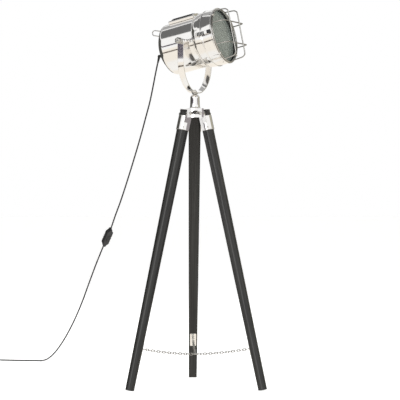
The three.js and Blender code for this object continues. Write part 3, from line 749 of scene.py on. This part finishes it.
def vent_hood():
    low, high = 90 - HOOD["half"], 90 + HOOD["half"]
    radius = HOOD["radius"]
    foot = [arc(0, 0, HOOD["foot"], a, a, 1)[0] for a in (low, high)]
    corner = 1.6
    over = arc(0, 0, radius - 3.2, low, low, 1)[:1] + arc(0, 0, radius, low + corner, high - corner, 28)
    over += arc(0, 0, radius - 3.2, high, high, 1)[:1]
    under = arc(0, 0, HOOD["foot"], high - 2, low + 2, 20)
    outline = [foot[0], *over, foot[1], *under]
    stand_in("vent_hood", along_x(prism(outline, HOOD["back"], HOOD["front"])), HEAD, "vent_hood", bevel=1.4)
    low, high = 90 - LOUVRE["half"], 90 + LOUVRE["half"]
    # the solid dark band under the fins is partly a black louvre and partly painted shade, standing in for the
    # shaded slots between the fins
    strip = arc(0, 0, radius + 1.6, low, high, 20) + arc(0, 0, radius - 1, high, low, 20)
    louvre = [along_x(prism(strip, LOUVRE["back"], LOUVRE["front"]))]
    low, high = low + 1.5, high - 1.5
    fin = arc(0, 0, radius + 2.6, low, high, 18) + arc(0, 0, radius, high, low, 18)
    for i in range(LOUVRE["fins"]):
        start = LOUVRE["back"] + 3 + LOUVRE["pitch"] * i
        louvre.append(along_x(prism(fin, start, start + 1.6)))
    fitting("hood_louvre", joined(*louvre), HEAD, "vent_hood", "black_rubber", bevel=0.3)


def rear_loop():
    straight = LOOP["length"] - LOOP["half"]
    half = LOOP["half"]
    bend = [(-along, 0, side) for along, side in arc(straight, 0, half, -90, 90, 14)]
    path = [(0, 0, -half), (-straight / 2, 0, -half), *bend, (-straight / 2, 0, half), (0, 0, half)]
    place = shift(LOOP["x"], 0, LOOP["z"]) @ turn(LOOP["rise"], "Y")
    stand_in("carry_loop", moved(swept(path, LOOP["wire"], 14), place), HEAD, "rear_loop", look="plated_wire")
    collars = []
    for x, z in ((-125.1, 81.1), (-134.9, 62.3)):
        outwards = Vector((x - DOME["centre"], 0, z))
        profile = [(-1, 0), (-1, 5), (0.6, 5), (1.6, 4.2), (2.2, 2.8), (2.2, 0)]
        collars.append(moved(turned(profile, 32), toward(x, 0, z, outwards)))
    fitting("loop_collars", joined(*collars), HEAD, "rear_loop")


GLAND_LEVEL = -12
RELIEF = {"x": -169.1, "ball": 6.8, "slant": 26.7}


def gland_and_relief():
    hexagon = prism(arc(0, 0, 8.5, 0, 300, 5), -154.5, -148.8)
    cap = turned(soften([(-162, 5.2), (-162, 6.9), (-160.5, 7.5), (-154.4, 7.5), (-154.4, 5.2)], 0.6), 48)
    shank = turned([(-161, 0), (-161, 5.3), (-141, 5.3), (-141, 0)], 32)
    grip = []
    for i in range(16):
        grip.append(moved(rod(0.8, -161, -155, 8), shift(*polar(22.5 * i, 7.2))))
    body = moved(joined(hexagon, cap, shank, *grip), shift(z=GLAND_LEVEL) @ turn(90, "Y"))
    stand_in("cord_gland_body", body, HEAD, "cord_gland", bevel=0.3)
    ball = turned(arc(0, 0, RELIEF["ball"], 180, 0, 20), 40)
    cone = [(-27, 0), (-27, 3.2), (-26.4, 3.6)]
    for i in range(5):
        start = -24.5 + 4.2 * i
        radius = 3.75 + 0.34 * i
        groove = radius - 0.7
        cone += [(start, radius), (start + 0.3, groove), (start + 1.3, groove), (start + 1.6, radius + 0.1)]
    cone += [(-3, 5.6), (-3, 0)]
    nozzle = moved(turned(cone, 32), turn(RELIEF["slant"], "Y"))
    boot = moved(joined(ball, nozzle), shift(RELIEF["x"], 0, GLAND_LEVEL))
    stand_in("strain_relief_boot", boot, HEAD, "strain_relief")


# ---- head: inside ----


def lamp_inside():
    dish = [(-30 + 105 * t * t, 34 + 66 * t) for t in (i / 24 for i in range(25))]
    back = [(x + 1.6, r) for x, r in reversed(dish)]
    stand_in("reflector_dish", turned_x(dish + back), HEAD, "reflector")
    glass = [(-58, 0), (-58, 12.5), (-40, 12.8), (-34, 13.9), *arc(12, 0, 30, 142, 0, 24)]
    stand_in("bulb_envelope", turned_x(soften(glass[1:-1], 1.2, 3, closed=False) + [(42, 0), (-58, 0)], 64),
             HEAD, "bulb")
    holder = soften([(-93.7, 0), (-93.7, 17), (-80, 20), (-44, 20), (-44, 14), (-59, 14), (-59, 0)], 1.2, 3)
    rings = []
    for i in range(4):
        line = [(-72 + 6 * i, *p) for p in arc(0, 0, 20, 0, 350, 35)]
        rings.append(swept(line, 0.9, 8, closed=True))
    stand_in("lamp_holder_body", joined(turned_x(holder, 64), *rings), HEAD, "lamp_holder")
    plate = soften([(-100, -12), (100, -12), (100, 12), (-100, 12)], 2)
    stand_in("holder_bar", along_x(prism(plate, -96, -94)), HEAD, "holder_bracket", bevel=0.4)


# ---- head: door ----


def door_pieces():
    ring = [
        (82, 111.2), (82, 114.5), (83, 115.5), (86, 115.5), (87.5, 113.2), (128, 113.2), (129, 114.6),
        (132, 114.6), (133, 113.6), (133, 106), (130, 106), (130, 111.2),
    ]
    stand_in("door_rim", turned_x(soften(ring, 0.9, 3), 128), HEAD, "door_ring")
    seal = [(112, 104), (112, 110.9), (129.6, 110.9), (129.6, 109), (116, 109), (116, 104)]
    stand_in("door_seal", turned_x(soften(seal, 0.5, 2)), HEAD, "lens_gasket")
    edge = [(116.3, 0), (116.3, 108.2), (116.8, 108.7), (118.4, 108.7), (119, 108.2)]
    dome = [(119 + 3 * (1 - (r / 108) ** 2), r) for r in (96, 80, 60, 40, 20, 0)]
    stand_in("front_glass", turned_x(edge + dome), HEAD, "lens")
    heads = []
    for i in range(6):
        y, z = polar(194 - 60 * i)
        heads.append((122, 113.1 * y, 113.1 * z, (0, y, z)))
    screws("rim_screws", HEAD, "door_ring", 2.7, 1.5, heads)


CAGE = {"wire": 2.5, "offset": 44, "front": 189, "span": 94, "bend": 12, "ring": 108.3, "base": 135.8}


def cage_bar(front):
    """One staple of the cage in the XZ plane, with rounded bends."""
    foot = math.sqrt(CAGE["ring"] ** 2 - CAGE["offset"] ** 2)
    bend = CAGE["bend"]
    half = [(CAGE["base"], foot), (front - bend, CAGE["span"] + 1.6)]
    for a in (22, 45, 68, 90):
        x, z = polar(90 - a, bend)
        half.append((front - bend + x, CAGE["span"] - bend + z))
    return [(x, 0, z) for x, z in half] + [(front, 0, 0)] + [(x, 0, -z) for x, z in reversed(half)]


def cage():
    wire = CAGE["wire"]
    circle = [(CAGE["base"], *p) for p in arc(0, 0, CAGE["ring"], 0, 356.25, 95)]
    hoop = swept(circle, wire, 14, closed=True)
    bars = []
    for side in (-1, 1):
        upright = swept(spline(cage_bar(CAGE["front"]), 4), wire, 14)
        bars.append(moved(upright, shift(0, side * CAGE["offset"], 0)))
        level = swept(spline(cage_bar(CAGE["front"] - wire * 1.8), 4), wire, 14)
        bars.append(moved(level, shift(0, 0, side * CAGE["offset"]) @ turn(90, "X")))
    welds = []
    for y in (-1, 1):
        for z in (-1, 1):
            place = toward(CAGE["front"] - 4.5, y * CAGE["offset"], z * CAGE["offset"], (1, 0, 0))
            welds.append(moved(turned([(-1, 0), (-1, 3.1), (1, 3.6), (3, 3.1), (3, 0)], 16), place))
    stand_in("lens_guard", joined(hoop, *bars, *welds), HEAD, "wire_cage", look="plated_wire")
    clips = []
    for i in range(4):
        y, z = polar(45 + 90 * i)
        place = toward(135.4, 108.6 * y, 108.6 * z, (0, y, z)) @ turn(90, "Z")
        clips.append(moved(block(0, 0, 0, 5.6, 9, 10), place))
    fitting("guard_clips", joined(*clips), HEAD, "wire_cage", bevel=1.2)


DOOR_HINGE = (82, 119.2)


def door_hinge():
    def knuckle(low, high):
        return moved(rod(3.2, low, high, 28), shift(*DOOR_HINGE))

    fixed = [block(70.5, 115.4, 0, 15, 3.6, 24), block(79, 117.8, 0, 6, 2.8, 9.4), knuckle(-4.7, 4.7)]
    stand_in("hinge_plate_fixed", joined(*fixed), HEAD, "hinge_leaf_fixed", bevel=0.5)
    swinging = [block(95, 115.4, 0, 13, 3.6, 24), knuckle(5, 12), knuckle(-12, -5)]
    swinging += [block(86, 117.4, side * 8.5, 8, 2.4, 7) for side in (-1, 1)]
    stand_in("hinge_plate_door", joined(*swinging), HEAD, "hinge_leaf_door", bevel=0.5)
    end = [(12.2, 1.4), (12.4, 2.3), (13.5, 1.7), (13.5, 0)]
    pin = [(-z, radius) for z, radius in reversed(end)] + end
    stand_in("hinge_rod_door", moved(turned(pin, 24), shift(*DOOR_HINGE)), HEAD, "hinge_pin_door")
    for x, node in ((68.5, "hinge_leaf_fixed"), (96.5, "hinge_leaf_door")):
        screws(f"screws_{node}", HEAD, node, 1.9, 1.2, [(x, 117.1, z, (0, 1, 0)) for z in (-8, 8)])


LATCH_TURN = -4  # degrees about the head's axis, from its near side
LATCH_PIVOT = (66, -120.6)


def door_latch():
    place = HEAD @ turn(LATCH_TURN, "X")
    base = [block(69, -115.2, 0, 24, 3.6, 14), block(66, -119.5, 0, 6, 5.6, 5.4)]
    stand_in("latch_foot", joined(*base), place, "latch_base", bevel=0.6)
    blade = [block(101, -121.2, 0, 62, 2, 12), block(130.5, -122.2, 0, 3, 4, 12)]
    blade += [block(68, -120.6, side * 4.6, 8, 3.6, 2.8) for side in (-1, 1)]
    stand_in("latch_handle", joined(*blade), place, "latch_lever", bevel=0.5)
    ribs = [block(74 + 6.4 * i, -123, 0, 3.4, 3.6, 15 - 0.6 * i) for i in range(5)]
    fitting("latch_ribs", joined(*ribs), place, "latch_lever", "black_plastic", bevel=0.5)
    stand_in("latch_keeper", block(107, -116.6, 0, 18, 6, 10), place, "latch_catch", bevel=0.8)
    grip = soften([(-8, -7), (8, -7), (8, 7), (-8, 7)], 2)
    fitting("latch_grip", moved(along_y(prism(grip, -126.2, -121.4)), shift(124)), place, "latch_lever",
            "black_plastic", bevel=0.7)
    pin = turned([(-6.6, 0), (-6.6, 1.9), (-6, 2.3), (6, 2.3), (6.6, 1.9), (6.6, 0)], 20)
    fitting("latch_pin", moved(pin, shift(*LATCH_PIVOT)), place, "latch_base", "steel")
    heads = [(76, -117, z, (0, -1, 0)) for z in (-4.6, 4.6)]
    screws("latch_screws", place, "latch_base", 1.8, 1.1, heads)


# ---- tilt pivots ----

FLUTES = 6


def fluted(profile, segments=96):
    """A knob turned about Z whose (along, radius, depth) rings are scooped by round flutes."""
    bm = bmesh.new()
    rings = []
    for along, radius, depth in profile:
        ring = []
        for i in range(segments):
            degrees = 360 * i / segments
            scoop = depth * max(0.0, polar(FLUTES * degrees)[0]) ** 1.5
            ring.append(bm.verts.new((*polar(degrees, radius - scoop), along)))
        rings.append(ring)
    return skin(bm, rings)


def tilt_pivot(end, side):
    flat = Matrix.Translation(PIVOT) @ YOKE.to_3x3().to_4x4()
    knob = [
        (134.2, 8.4, 0), (134.8, 9, 0), (139.6, 9, 0), (140.6, 9.8, 0.2), (141.4, 11.4, 1.2),
        (142.4, 12, 1.7), (150, 12, 2.0), (158, 12, 1.7), (159.6, 11.5, 1.2), (160.8, 10.6, 0.6),
        (161.6, 9.4, 0.2), (162.1, 7.6, 0), (162.2, 4.4, 0), (161.4, 3.6, 0), (161.2, 1, 0),
    ]
    lying = turn(-90 * side, "X")
    stand_in(f"knob_{end}", moved(fluted(knob), lying), flat, f"tilt_knob_{end}", look="plated_wire")
    washer = soften([(132.3, 4.3), (132.3, 11), (133.7, 11), (133.7, 4.3)], 0.4, 2)
    stand_in(f"pivot_washer_{end}", turned_y(washer, side), flat, f"tilt_washer_{end}")
    stud = [(96, 0), (96, 4), (145, 4), (146, 3), (146, 0)]
    stand_in(f"pivot_stud_{end}", turned_y(stud, side), HEAD, f"tilt_stud_{end}")
    spacer = [(104.4, 4.3), (104.4, 9.4), (106, 9.6), (107.4, 8), (126, 8), (127.7, 7.4), (127.7, 4.3)]
    stand_in(f"pivot_spacer_{end}", turned_y(soften(spacer, 0.6, 3), side), HEAD, f"tilt_spacer_{end}")


# ---- yoke, neck and hub ----

YOKE_RADIUS = 132
YOKE_STRAP = 4
YOKE_WIDTH = 26
YOKE_BOTTOM = 1187.5
HUB_BOTTOM = 1088
HUB_TOP = 1125
BELL_TOP = 1184
PIVOT_HEIGHT = PIVOT.z / MM


def ribbon(stations, thickness):
    """A flat strap through (point, normal, half width) stations; its width lies along X."""
    bm = bmesh.new()
    rings = []
    for point, normal, half in stations:
        edge = min(1.2, half * 0.6)
        section = soften([(-half, -thickness / 2), (half, -thickness / 2), (half, thickness / 2),
                          (-half, thickness / 2)], edge, 3)
        point = Vector(point)
        rings.append([bm.verts.new(point + Vector((w, 0, 0)) + Vector(normal) * t) for w, t in section])
    return skin(bm, rings)


def yoke_strap():
    middle = YOKE_RADIUS - YOKE_STRAP / 2
    half = YOKE_WIDTH / 2
    bend = YOKE_BOTTOM + YOKE_RADIUS
    near = []
    for i in range(14):
        a = math.radians(2 + 88 * i / 13)
        near.append(((0, -middle, PIVOT_HEIGHT + half * math.cos(a)), (0, -1, 0), half * math.sin(a)))
    for i in range(1, 6):
        near.append(((0, -middle, PIVOT_HEIGHT + (bend - PIVOT_HEIGHT) * i / 6), (0, -1, 0), half))
    curve = []
    for y, z in arc(0, 0, 1, 180, 360, 72):
        curve.append(((0, middle * y, bend + middle * z), (0, y, z), half))
    far = [((x, -y, z), (0, 1, 0), w) for (x, y, z), _, w in reversed(near)]
    stand_in("yoke_band", ribbon(near + curve + far, YOKE_STRAP), YOKE, "yoke_strap")


def neck_pieces():
    rise = [(0.3, 5.3), (0.3, 23.6), (0.7, 24), (2.2, 24), (2.6, 23.5), (3.4, 22.4), (6, 20.9), (10, 20.1),
            (16, 19.6), (30, 19.1), (40, 18.8)]
    bell = [(HUB_TOP + height, radius) for height, radius in rise]
    bell += arc(HUB_TOP + 44, 4.5, 14.3, 84, 12, 14) + [(BELL_TOP, 6.6), (BELL_TOP, 5.3)]
    stand_in("neck_cone", turned(bell), HUB, "neck_bell")
    stud = [(1119, 0), (1119, 5), (1192.5, 5), (1193.4, 4), (1193.4, 0)]
    stand_in("neck_stud", turned(stud, 32), HUB, "pan_stud")
    washer = soften([(1184.3, 5.3), (1184.3, 12), (1187.2, 12), (1187.2, 5.3)], 0.6, 2)
    stand_in("neck_washer", turned(washer, 64), HUB, "pan_washer")
    seat = YOKE_BOTTOM + YOKE_STRAP + 0.8
    hexagon = prism(arc(0, 0, 8.5, 0, 300, 5), seat, seat + 2.4)
    cap = [(seat + 2, 0), (seat + 2, 7), (seat + 5, 7), *arc(seat + 5, 0, 6, 80, 0, 12)]
    stand_in("neck_nut", joined(hexagon, turned(cap, 48)), YOKE, "pan_nut", bevel=0.3)


def around(side):
    """A turn about Z from +X to a leg's azimuth."""
    out = Vector(JOINTS[f"leg_{side}_fold"]["axis"]).cross(UP)
    return Matrix.Rotation(math.atan2(out.y, out.x), 4, "Z")


HINGE_HEIGHT = 1105
HINGE_REACH = 45.5
HUB_RADIUS = 60.5
LEG = {"width": 49, "side": 13, "inner": -16, "top": 13, "taper": -75}
SOCKET = {"play": 0.3, "wall": 2.2, "top": -13, "foot": -70}
SOCKET_HALF = LEG["width"] / 2 + SOCKET["play"] + SOCKET["wall"]
WINDOW = {"width": 25, "low": 1101, "high": 1115.5}


def hub_body():
    slot = 2 * (SOCKET_HALF + SOCKET["play"])
    half = (WINDOW["high"] - WINDOW["low"]) / 2
    straight = WINDOW["width"] / 2 - half
    oval = arc(straight, 0, half, -90, 90, 12) + arc(-straight, 0, half, 90, 270, 12)
    casting = rod(HUB_RADIUS, HUB_BOTTOM, HUB_TOP, 128)
    cutters = [rod(5.3, HINGE_HEIGHT, 1140, 32)]
    for side in SIDES:
        bearing = around(side)
        cutters.append(moved(block(70, 0, 1094.75, 100, slot, 49.5), bearing))
        cutters.append(moved(block(80, 0, HUB_TOP, 100, slot, 40), bearing))
        cutters.append(moved(along_x(prism(oval, -100, 0)), bearing @ shift(z=WINDOW["low"] + half)))
        pin_axis = bearing @ shift(HINGE_REACH, 0, HINGE_HEIGHT)
        cutters.append(moved(rod(4.3, -60, 60, 24), pin_axis @ turn(90, "X")))
        for end in (-1, 1):
            cutters.append(moved(rod(7.5, 0, 60, 32), pin_axis @ shift(0, end * 38.7) @ turn(-90 * end, "X")))
    stand_in("hub_body", carved(casting, *cutters), HUB, "hub_casting", bevel=0.9)


# ---- legs ----

FOOT = {"width": 33.5, "depth": 30, "flat": 8}
LEG_LEAN = math.radians(JOINTS["leg_back_fold"]["range_deg"][1])


def d_section(half, inner, side_end, corner, steps=18):
    """The D of a leg: flat inside, straight sides and a half round outside."""
    corners = [(side_end, half), (inner, half), (inner, -half), (side_end, -half)]
    flat = soften(corners, corner, 4, closed=False)
    return [tuple(p) for p in flat] + arc(side_end, 0, half, -90, 90, steps)[1:-1]


def wooden_leg(side):
    half = LEG["width"] / 2
    section = d_section(half, LEG["inner"], LEG["inner"] + LEG["side"], 3.2)
    depth = LEG["side"] + half
    bm = bmesh.new()
    rings = []

    def level(z, width, deep, inset):
        ring = []
        for x, y in section:
            reach = (x - LEG["inner"]) * deep
            middle = depth * deep / 2
            x = LEG["inner"] + middle + (reach - middle) * (1 - inset / middle)
            y = y * width * (1 - inset / (half * width))
            floor = 0.02 - (HINGE_HEIGHT + x * math.sin(LEG_LEAN)) / math.cos(LEG_LEAN)
            ring.append(bm.verts.new((x, y, max(z, floor))))
        rings.append(ring)

    sink = FOOT["flat"] * math.tan(LEG_LEAN)
    foot = -(HINGE_HEIGHT + LEG["inner"] * math.sin(LEG_LEAN) + sink) / math.cos(LEG_LEAN)
    narrow = FOOT["width"] / LEG["width"]
    shallow = FOOT["depth"] / depth
    level(foot, narrow, shallow, 1.4)
    level(foot + 1.6, narrow, shallow, 0)
    for i in range(1, 24):
        t = i / 24
        level(foot + (LEG["taper"] - foot) * t, narrow + (1 - narrow) * t, shallow + (1 - shallow) * t, 0)
    level(LEG["taper"], 1, 1, 0)
    level(-20, 1, 1, 0)
    level(LEG["top"] - 2.4, 1, 1, 0)
    level(LEG["top"] - 0.7, 1, 1, 0.7)
    level(LEG["top"], 1, 1, 2.2)
    stand_in(f"wood_{side}", skin(bm, rings), leg_frame(side), f"leg_{side}")


def leg_socket(side):
    """A D sleeve with an ear each side around the hinge pin."""
    outer = SOCKET_HALF
    inner = outer - SOCKET["wall"]
    back = LEG["inner"]
    side_end = back + LEG["side"]
    shell = [(back, outer), (back, inner), *arc(side_end, 0, inner, 90, -90, 20),
             (back, -inner), (back, -outer), *arc(side_end, 0, outer, -90, 90, 20)]
    sleeve = prism(shell, SOCKET["foot"], SOCKET["top"])
    cheek = [(11.9, -40), *arc(0, 0, 11.9, 0, 180, 20), (-11.9, -40)]
    ear = along_y(prism(cheek, -outer + 0.05, outer - 0.05))
    room = prism([(-40, inner), (-40, -inner), *arc(side_end, 0, inner, -90, 90, 20)], -100, 60)
    ears = carved(ear, room)
    beads = []
    for height, out in ((SOCKET["top"], 1.1), (SOCKET["foot"] + 0.8, 1.3)):
        beads.append(swept([(x, y, height) for x, y in arc(side_end, 0, inner + out, -90, 90, 28)], 1.3, 10))
    node = f"leg_socket_{side}"
    stand_in(f"socket_{side}", joined(sleeve, ears, *beads), leg_frame(side), node, bevel=0.5)
    heads = []
    for a in (-58, 58):
        x, y = polar(a)
        reach = outer - 0.1
        heads.append((side_end + reach * x, reach * y, -60, (x, y, 0)))
    screws(f"socket_screws_{side}", leg_frame(side), node, 3, 1.6, heads)


def hinge_pin(side):
    end = [(39, 4), (39, 6.5), (41, 6.5), (42.6, 5.4), (43.5, 3), (43.5, 0)]
    pin = [(-z, radius) for z, radius in reversed(end)] + end
    stand_in(f"pivot_pin_{side}", moved(turned(pin, 40), turn(90, "X")), leg_frame(side), f"hinge_pin_{side}")


# ---- spreader ----

PLATE_ALONG = -963
EYE_REACH = 12.3  # from the inner face of the leg to the middle of the chain's first link
RING_HEIGHT = 130
RING_RADIUS = 9
CHAIN_END = 13.6  # from the tripod's axis
CHAIN_SAG = 4
CHAIN_STEPS = 400
LINK = {"length": 19, "width": 10.6, "wire": 1.5}


def chain_plate(side):
    inner = LEG["inner"] - 0.3
    outline = soften([(-13, -27), (13, -27), (13, 27), (-13, 27)], 4)
    plate = moved(along_x(prism(outline, inner - 3, inner)), shift(0, 0, PLATE_ALONG))
    staple = [(inner - 1, 0, 4.4), (inner - 6, 0, 4.4)]
    for a in range(20, 180, 20):
        z, out = polar(a, 4.4)
        staple.append((inner - 6 - out, 0, z))
    staple += [(inner - 6, 0, -4.4), (inner - 1, 0, -4.4)]
    eye = moved(swept(staple, 1.5, 10), shift(0, 0, PLATE_ALONG))
    stand_in(f"eye_plate_{side}", joined(plate, eye), leg_frame(side), f"chain_plate_{side}", bevel=0.7)
    heads = [(inner - 2.9, 0, PLATE_ALONG + z, (-1, 0, 0)) for z in (-19, 19)]
    screws(f"eye_plate_screws_{side}", leg_frame(side), f"chain_plate_{side}", 3, 1.6, heads)


def oval_link(place):
    half = LINK["width"] / 2 - LINK["wire"]
    straight = (LINK["length"] - LINK["width"]) / 2
    path = [(x, y, 0) for x, y in arc(straight, 0, half, -90, 90, 6) + arc(-straight, 0, half, 90, 270, 6)]
    return moved(swept(path, LINK["wire"], 8, closed=True), place)


def chain(side):
    """Links from the eye on the leg to the ring, hanging a little, each turned across the last."""
    eye = leg_frame(side) @ Vector(((LEG["inner"] - EYE_REACH) * MM, 0, PLATE_ALONG * MM))
    reach = (eye - AXIS).to_2d().length / MM
    start = Vector((reach, 0, eye.z / MM))
    end = Vector((CHAIN_END, 0, RING_HEIGHT))
    line = []
    for i in range(CHAIN_STEPS + 1):
        t = i / CHAIN_STEPS
        line.append(start.lerp(end, t) - Vector((0, 0, CHAIN_SAG * 4 * t * (1 - t))))
    total = sum((b - a).length for a, b in zip(line, line[1:]))
    count = round(total / (LINK["length"] - 4 * LINK["wire"]))
    links = []
    for k in range(count):
        spot = int((k + 0.5) / count * CHAIN_STEPS)
        point = line[spot]
        along = (line[spot + 1] - point).normalized()
        across = Vector((0, 1, 0))
        if k % 2:
            across = along.cross(across)
        links.append(oval_link(frame_of(point, along, across, along.cross(across))))
    node = f"chain_{side}"
    stand_in(f"chain_links_{side}", joined(*links), HUB @ around(side), node, look="plated_wire")


def chain_ring():
    ring = [(x, y, RING_HEIGHT) for x, y in arc(0, 0, RING_RADIUS, 0, 350, 35)]
    stand_in("join_ring", swept(ring, 1.8, 12, closed=True), HUB, "chain_ring")


# ---- switch and plug on the lead ----


def switch_pieces():
    across = Vector((SWITCH_ALONG.y, -SWITCH_ALONG.x, 0)).normalized()
    place = frame_of(AXIS + SWITCH_CENTRE, SWITCH_ALONG, across, SWITCH_ALONG.cross(across))
    side = [(-49, 4), (-39, 6), (-33, 14), (33, 14), (39, 6), (49, 4)]
    outline = soften([*[(x, -y) for x, y in side], *reversed(side)], 5, 5)
    base = prism(outline, -10, -0.15)
    stand_in("switch_lower_shell", base, place, "switch_base", bevel=1.6)
    cover = carved(prism(outline, 0.15, 10), block(0, 0, 8, 27.4, 13, 12))
    stand_in("switch_upper_shell", cover, place, "switch_cover", bevel=0.9)
    rocker = soften([(-12.3, 5), (12.3, 5), (12.3, 9.6), (0, 11.2), (-12.3, 13)], 1.4, 3)
    stand_in("switch_key", along_y(prism(rocker, -6, 6)), place, "switch_rocker", bevel=0.6)
    grips = []
    for end in (-1, 1):
        for i in range(4):
            grips.append(block(end * (40.6 + 2.1 * i), 0, 0, 1, 13.4 - 1.2 * i, 15.4 - 0.8 * i))
    fitting("switch_sleeve_ribs", joined(*grips), place, "switch_base", bevel=0.4)
    heads = [(x, 0, -9.9, (0, 0, -1)) for x in (-27, 27)]
    screws("switch_screws", place, "switch_base", 2.2, 0.6, heads)


PLUG = Vector((-1040, 962, 7.6))


def plug_pieces():
    boot = [(0, 0), (0, 3.6), (0.6, 4)]
    for i in range(4):
        radius = 4.3 + 0.5 * i
        boot += [(2.6 + 3.8 * i, radius), (2.9 + 3.8 * i, radius - 0.8), (4 + 3.8 * i, radius - 0.8),
                 (4.3 + 3.8 * i, radius + 0.2)]
    boot += [(18, 6.4), (18, 0)]
    shell = soften([(-17, -6.6), (-26, -17.5), (-52, -17.5), (-52, 17.5), (-26, 17.5), (-17, 6.6)], 3.5, 5)
    body = joined(moved(turned(boot, 36), turn(-90, "Y")), prism(shell, -7.2, 6.4))
    place = HUB @ Matrix.Translation(PLUG * MM)
    stand_in("plug_shell", body, place, "plug_body", bevel=1.2)
    for number, across in ((1, -9.5), (2, 9.5)):
        profile = [(46.6, 0), (46.6, 1.9), (68.4, 2), (69.6, 1.7), (70.6, 1.1), (70.9, 0)]
        pin = moved(turned(profile, 24), shift(0, across) @ turn(-90, "Y"))
        stand_in(f"plug_contact_{number}", pin, place, f"plug_pin_{number}")


can_shell()
barrel_shell()
vent_hood()
rear_loop()
gland_and_relief()
lamp_inside()
door_pieces()
cage()
door_hinge()
door_latch()
for end, side in (("near", -1), ("far", 1)):
    tilt_pivot(end, side)
yoke_strap()
neck_pieces()
hub_body()
for side in SIDES:
    wooden_leg(side)
    leg_socket(side)
    hinge_pin(side)
    chain_plate(side)
    chain(side)
chain_ring()
switch_pieces()
plug_pieces()

# ---- the CAD nodes, all of them replaced, keep matching finishes ----

for subpart in RECORD["subparts"]:
    node = NODES[subpart["node"]]
    node.data.materials.clear()
    node.data.materials.append(MATERIALS[subpart["material_slot"]])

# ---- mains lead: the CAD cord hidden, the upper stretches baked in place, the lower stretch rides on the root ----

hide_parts("cord_upper")
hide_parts("cord_lower", "cord_coil", "cord_tail")
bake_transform(lead_top)
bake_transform(lead_upper)
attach(lead_lower, "root")
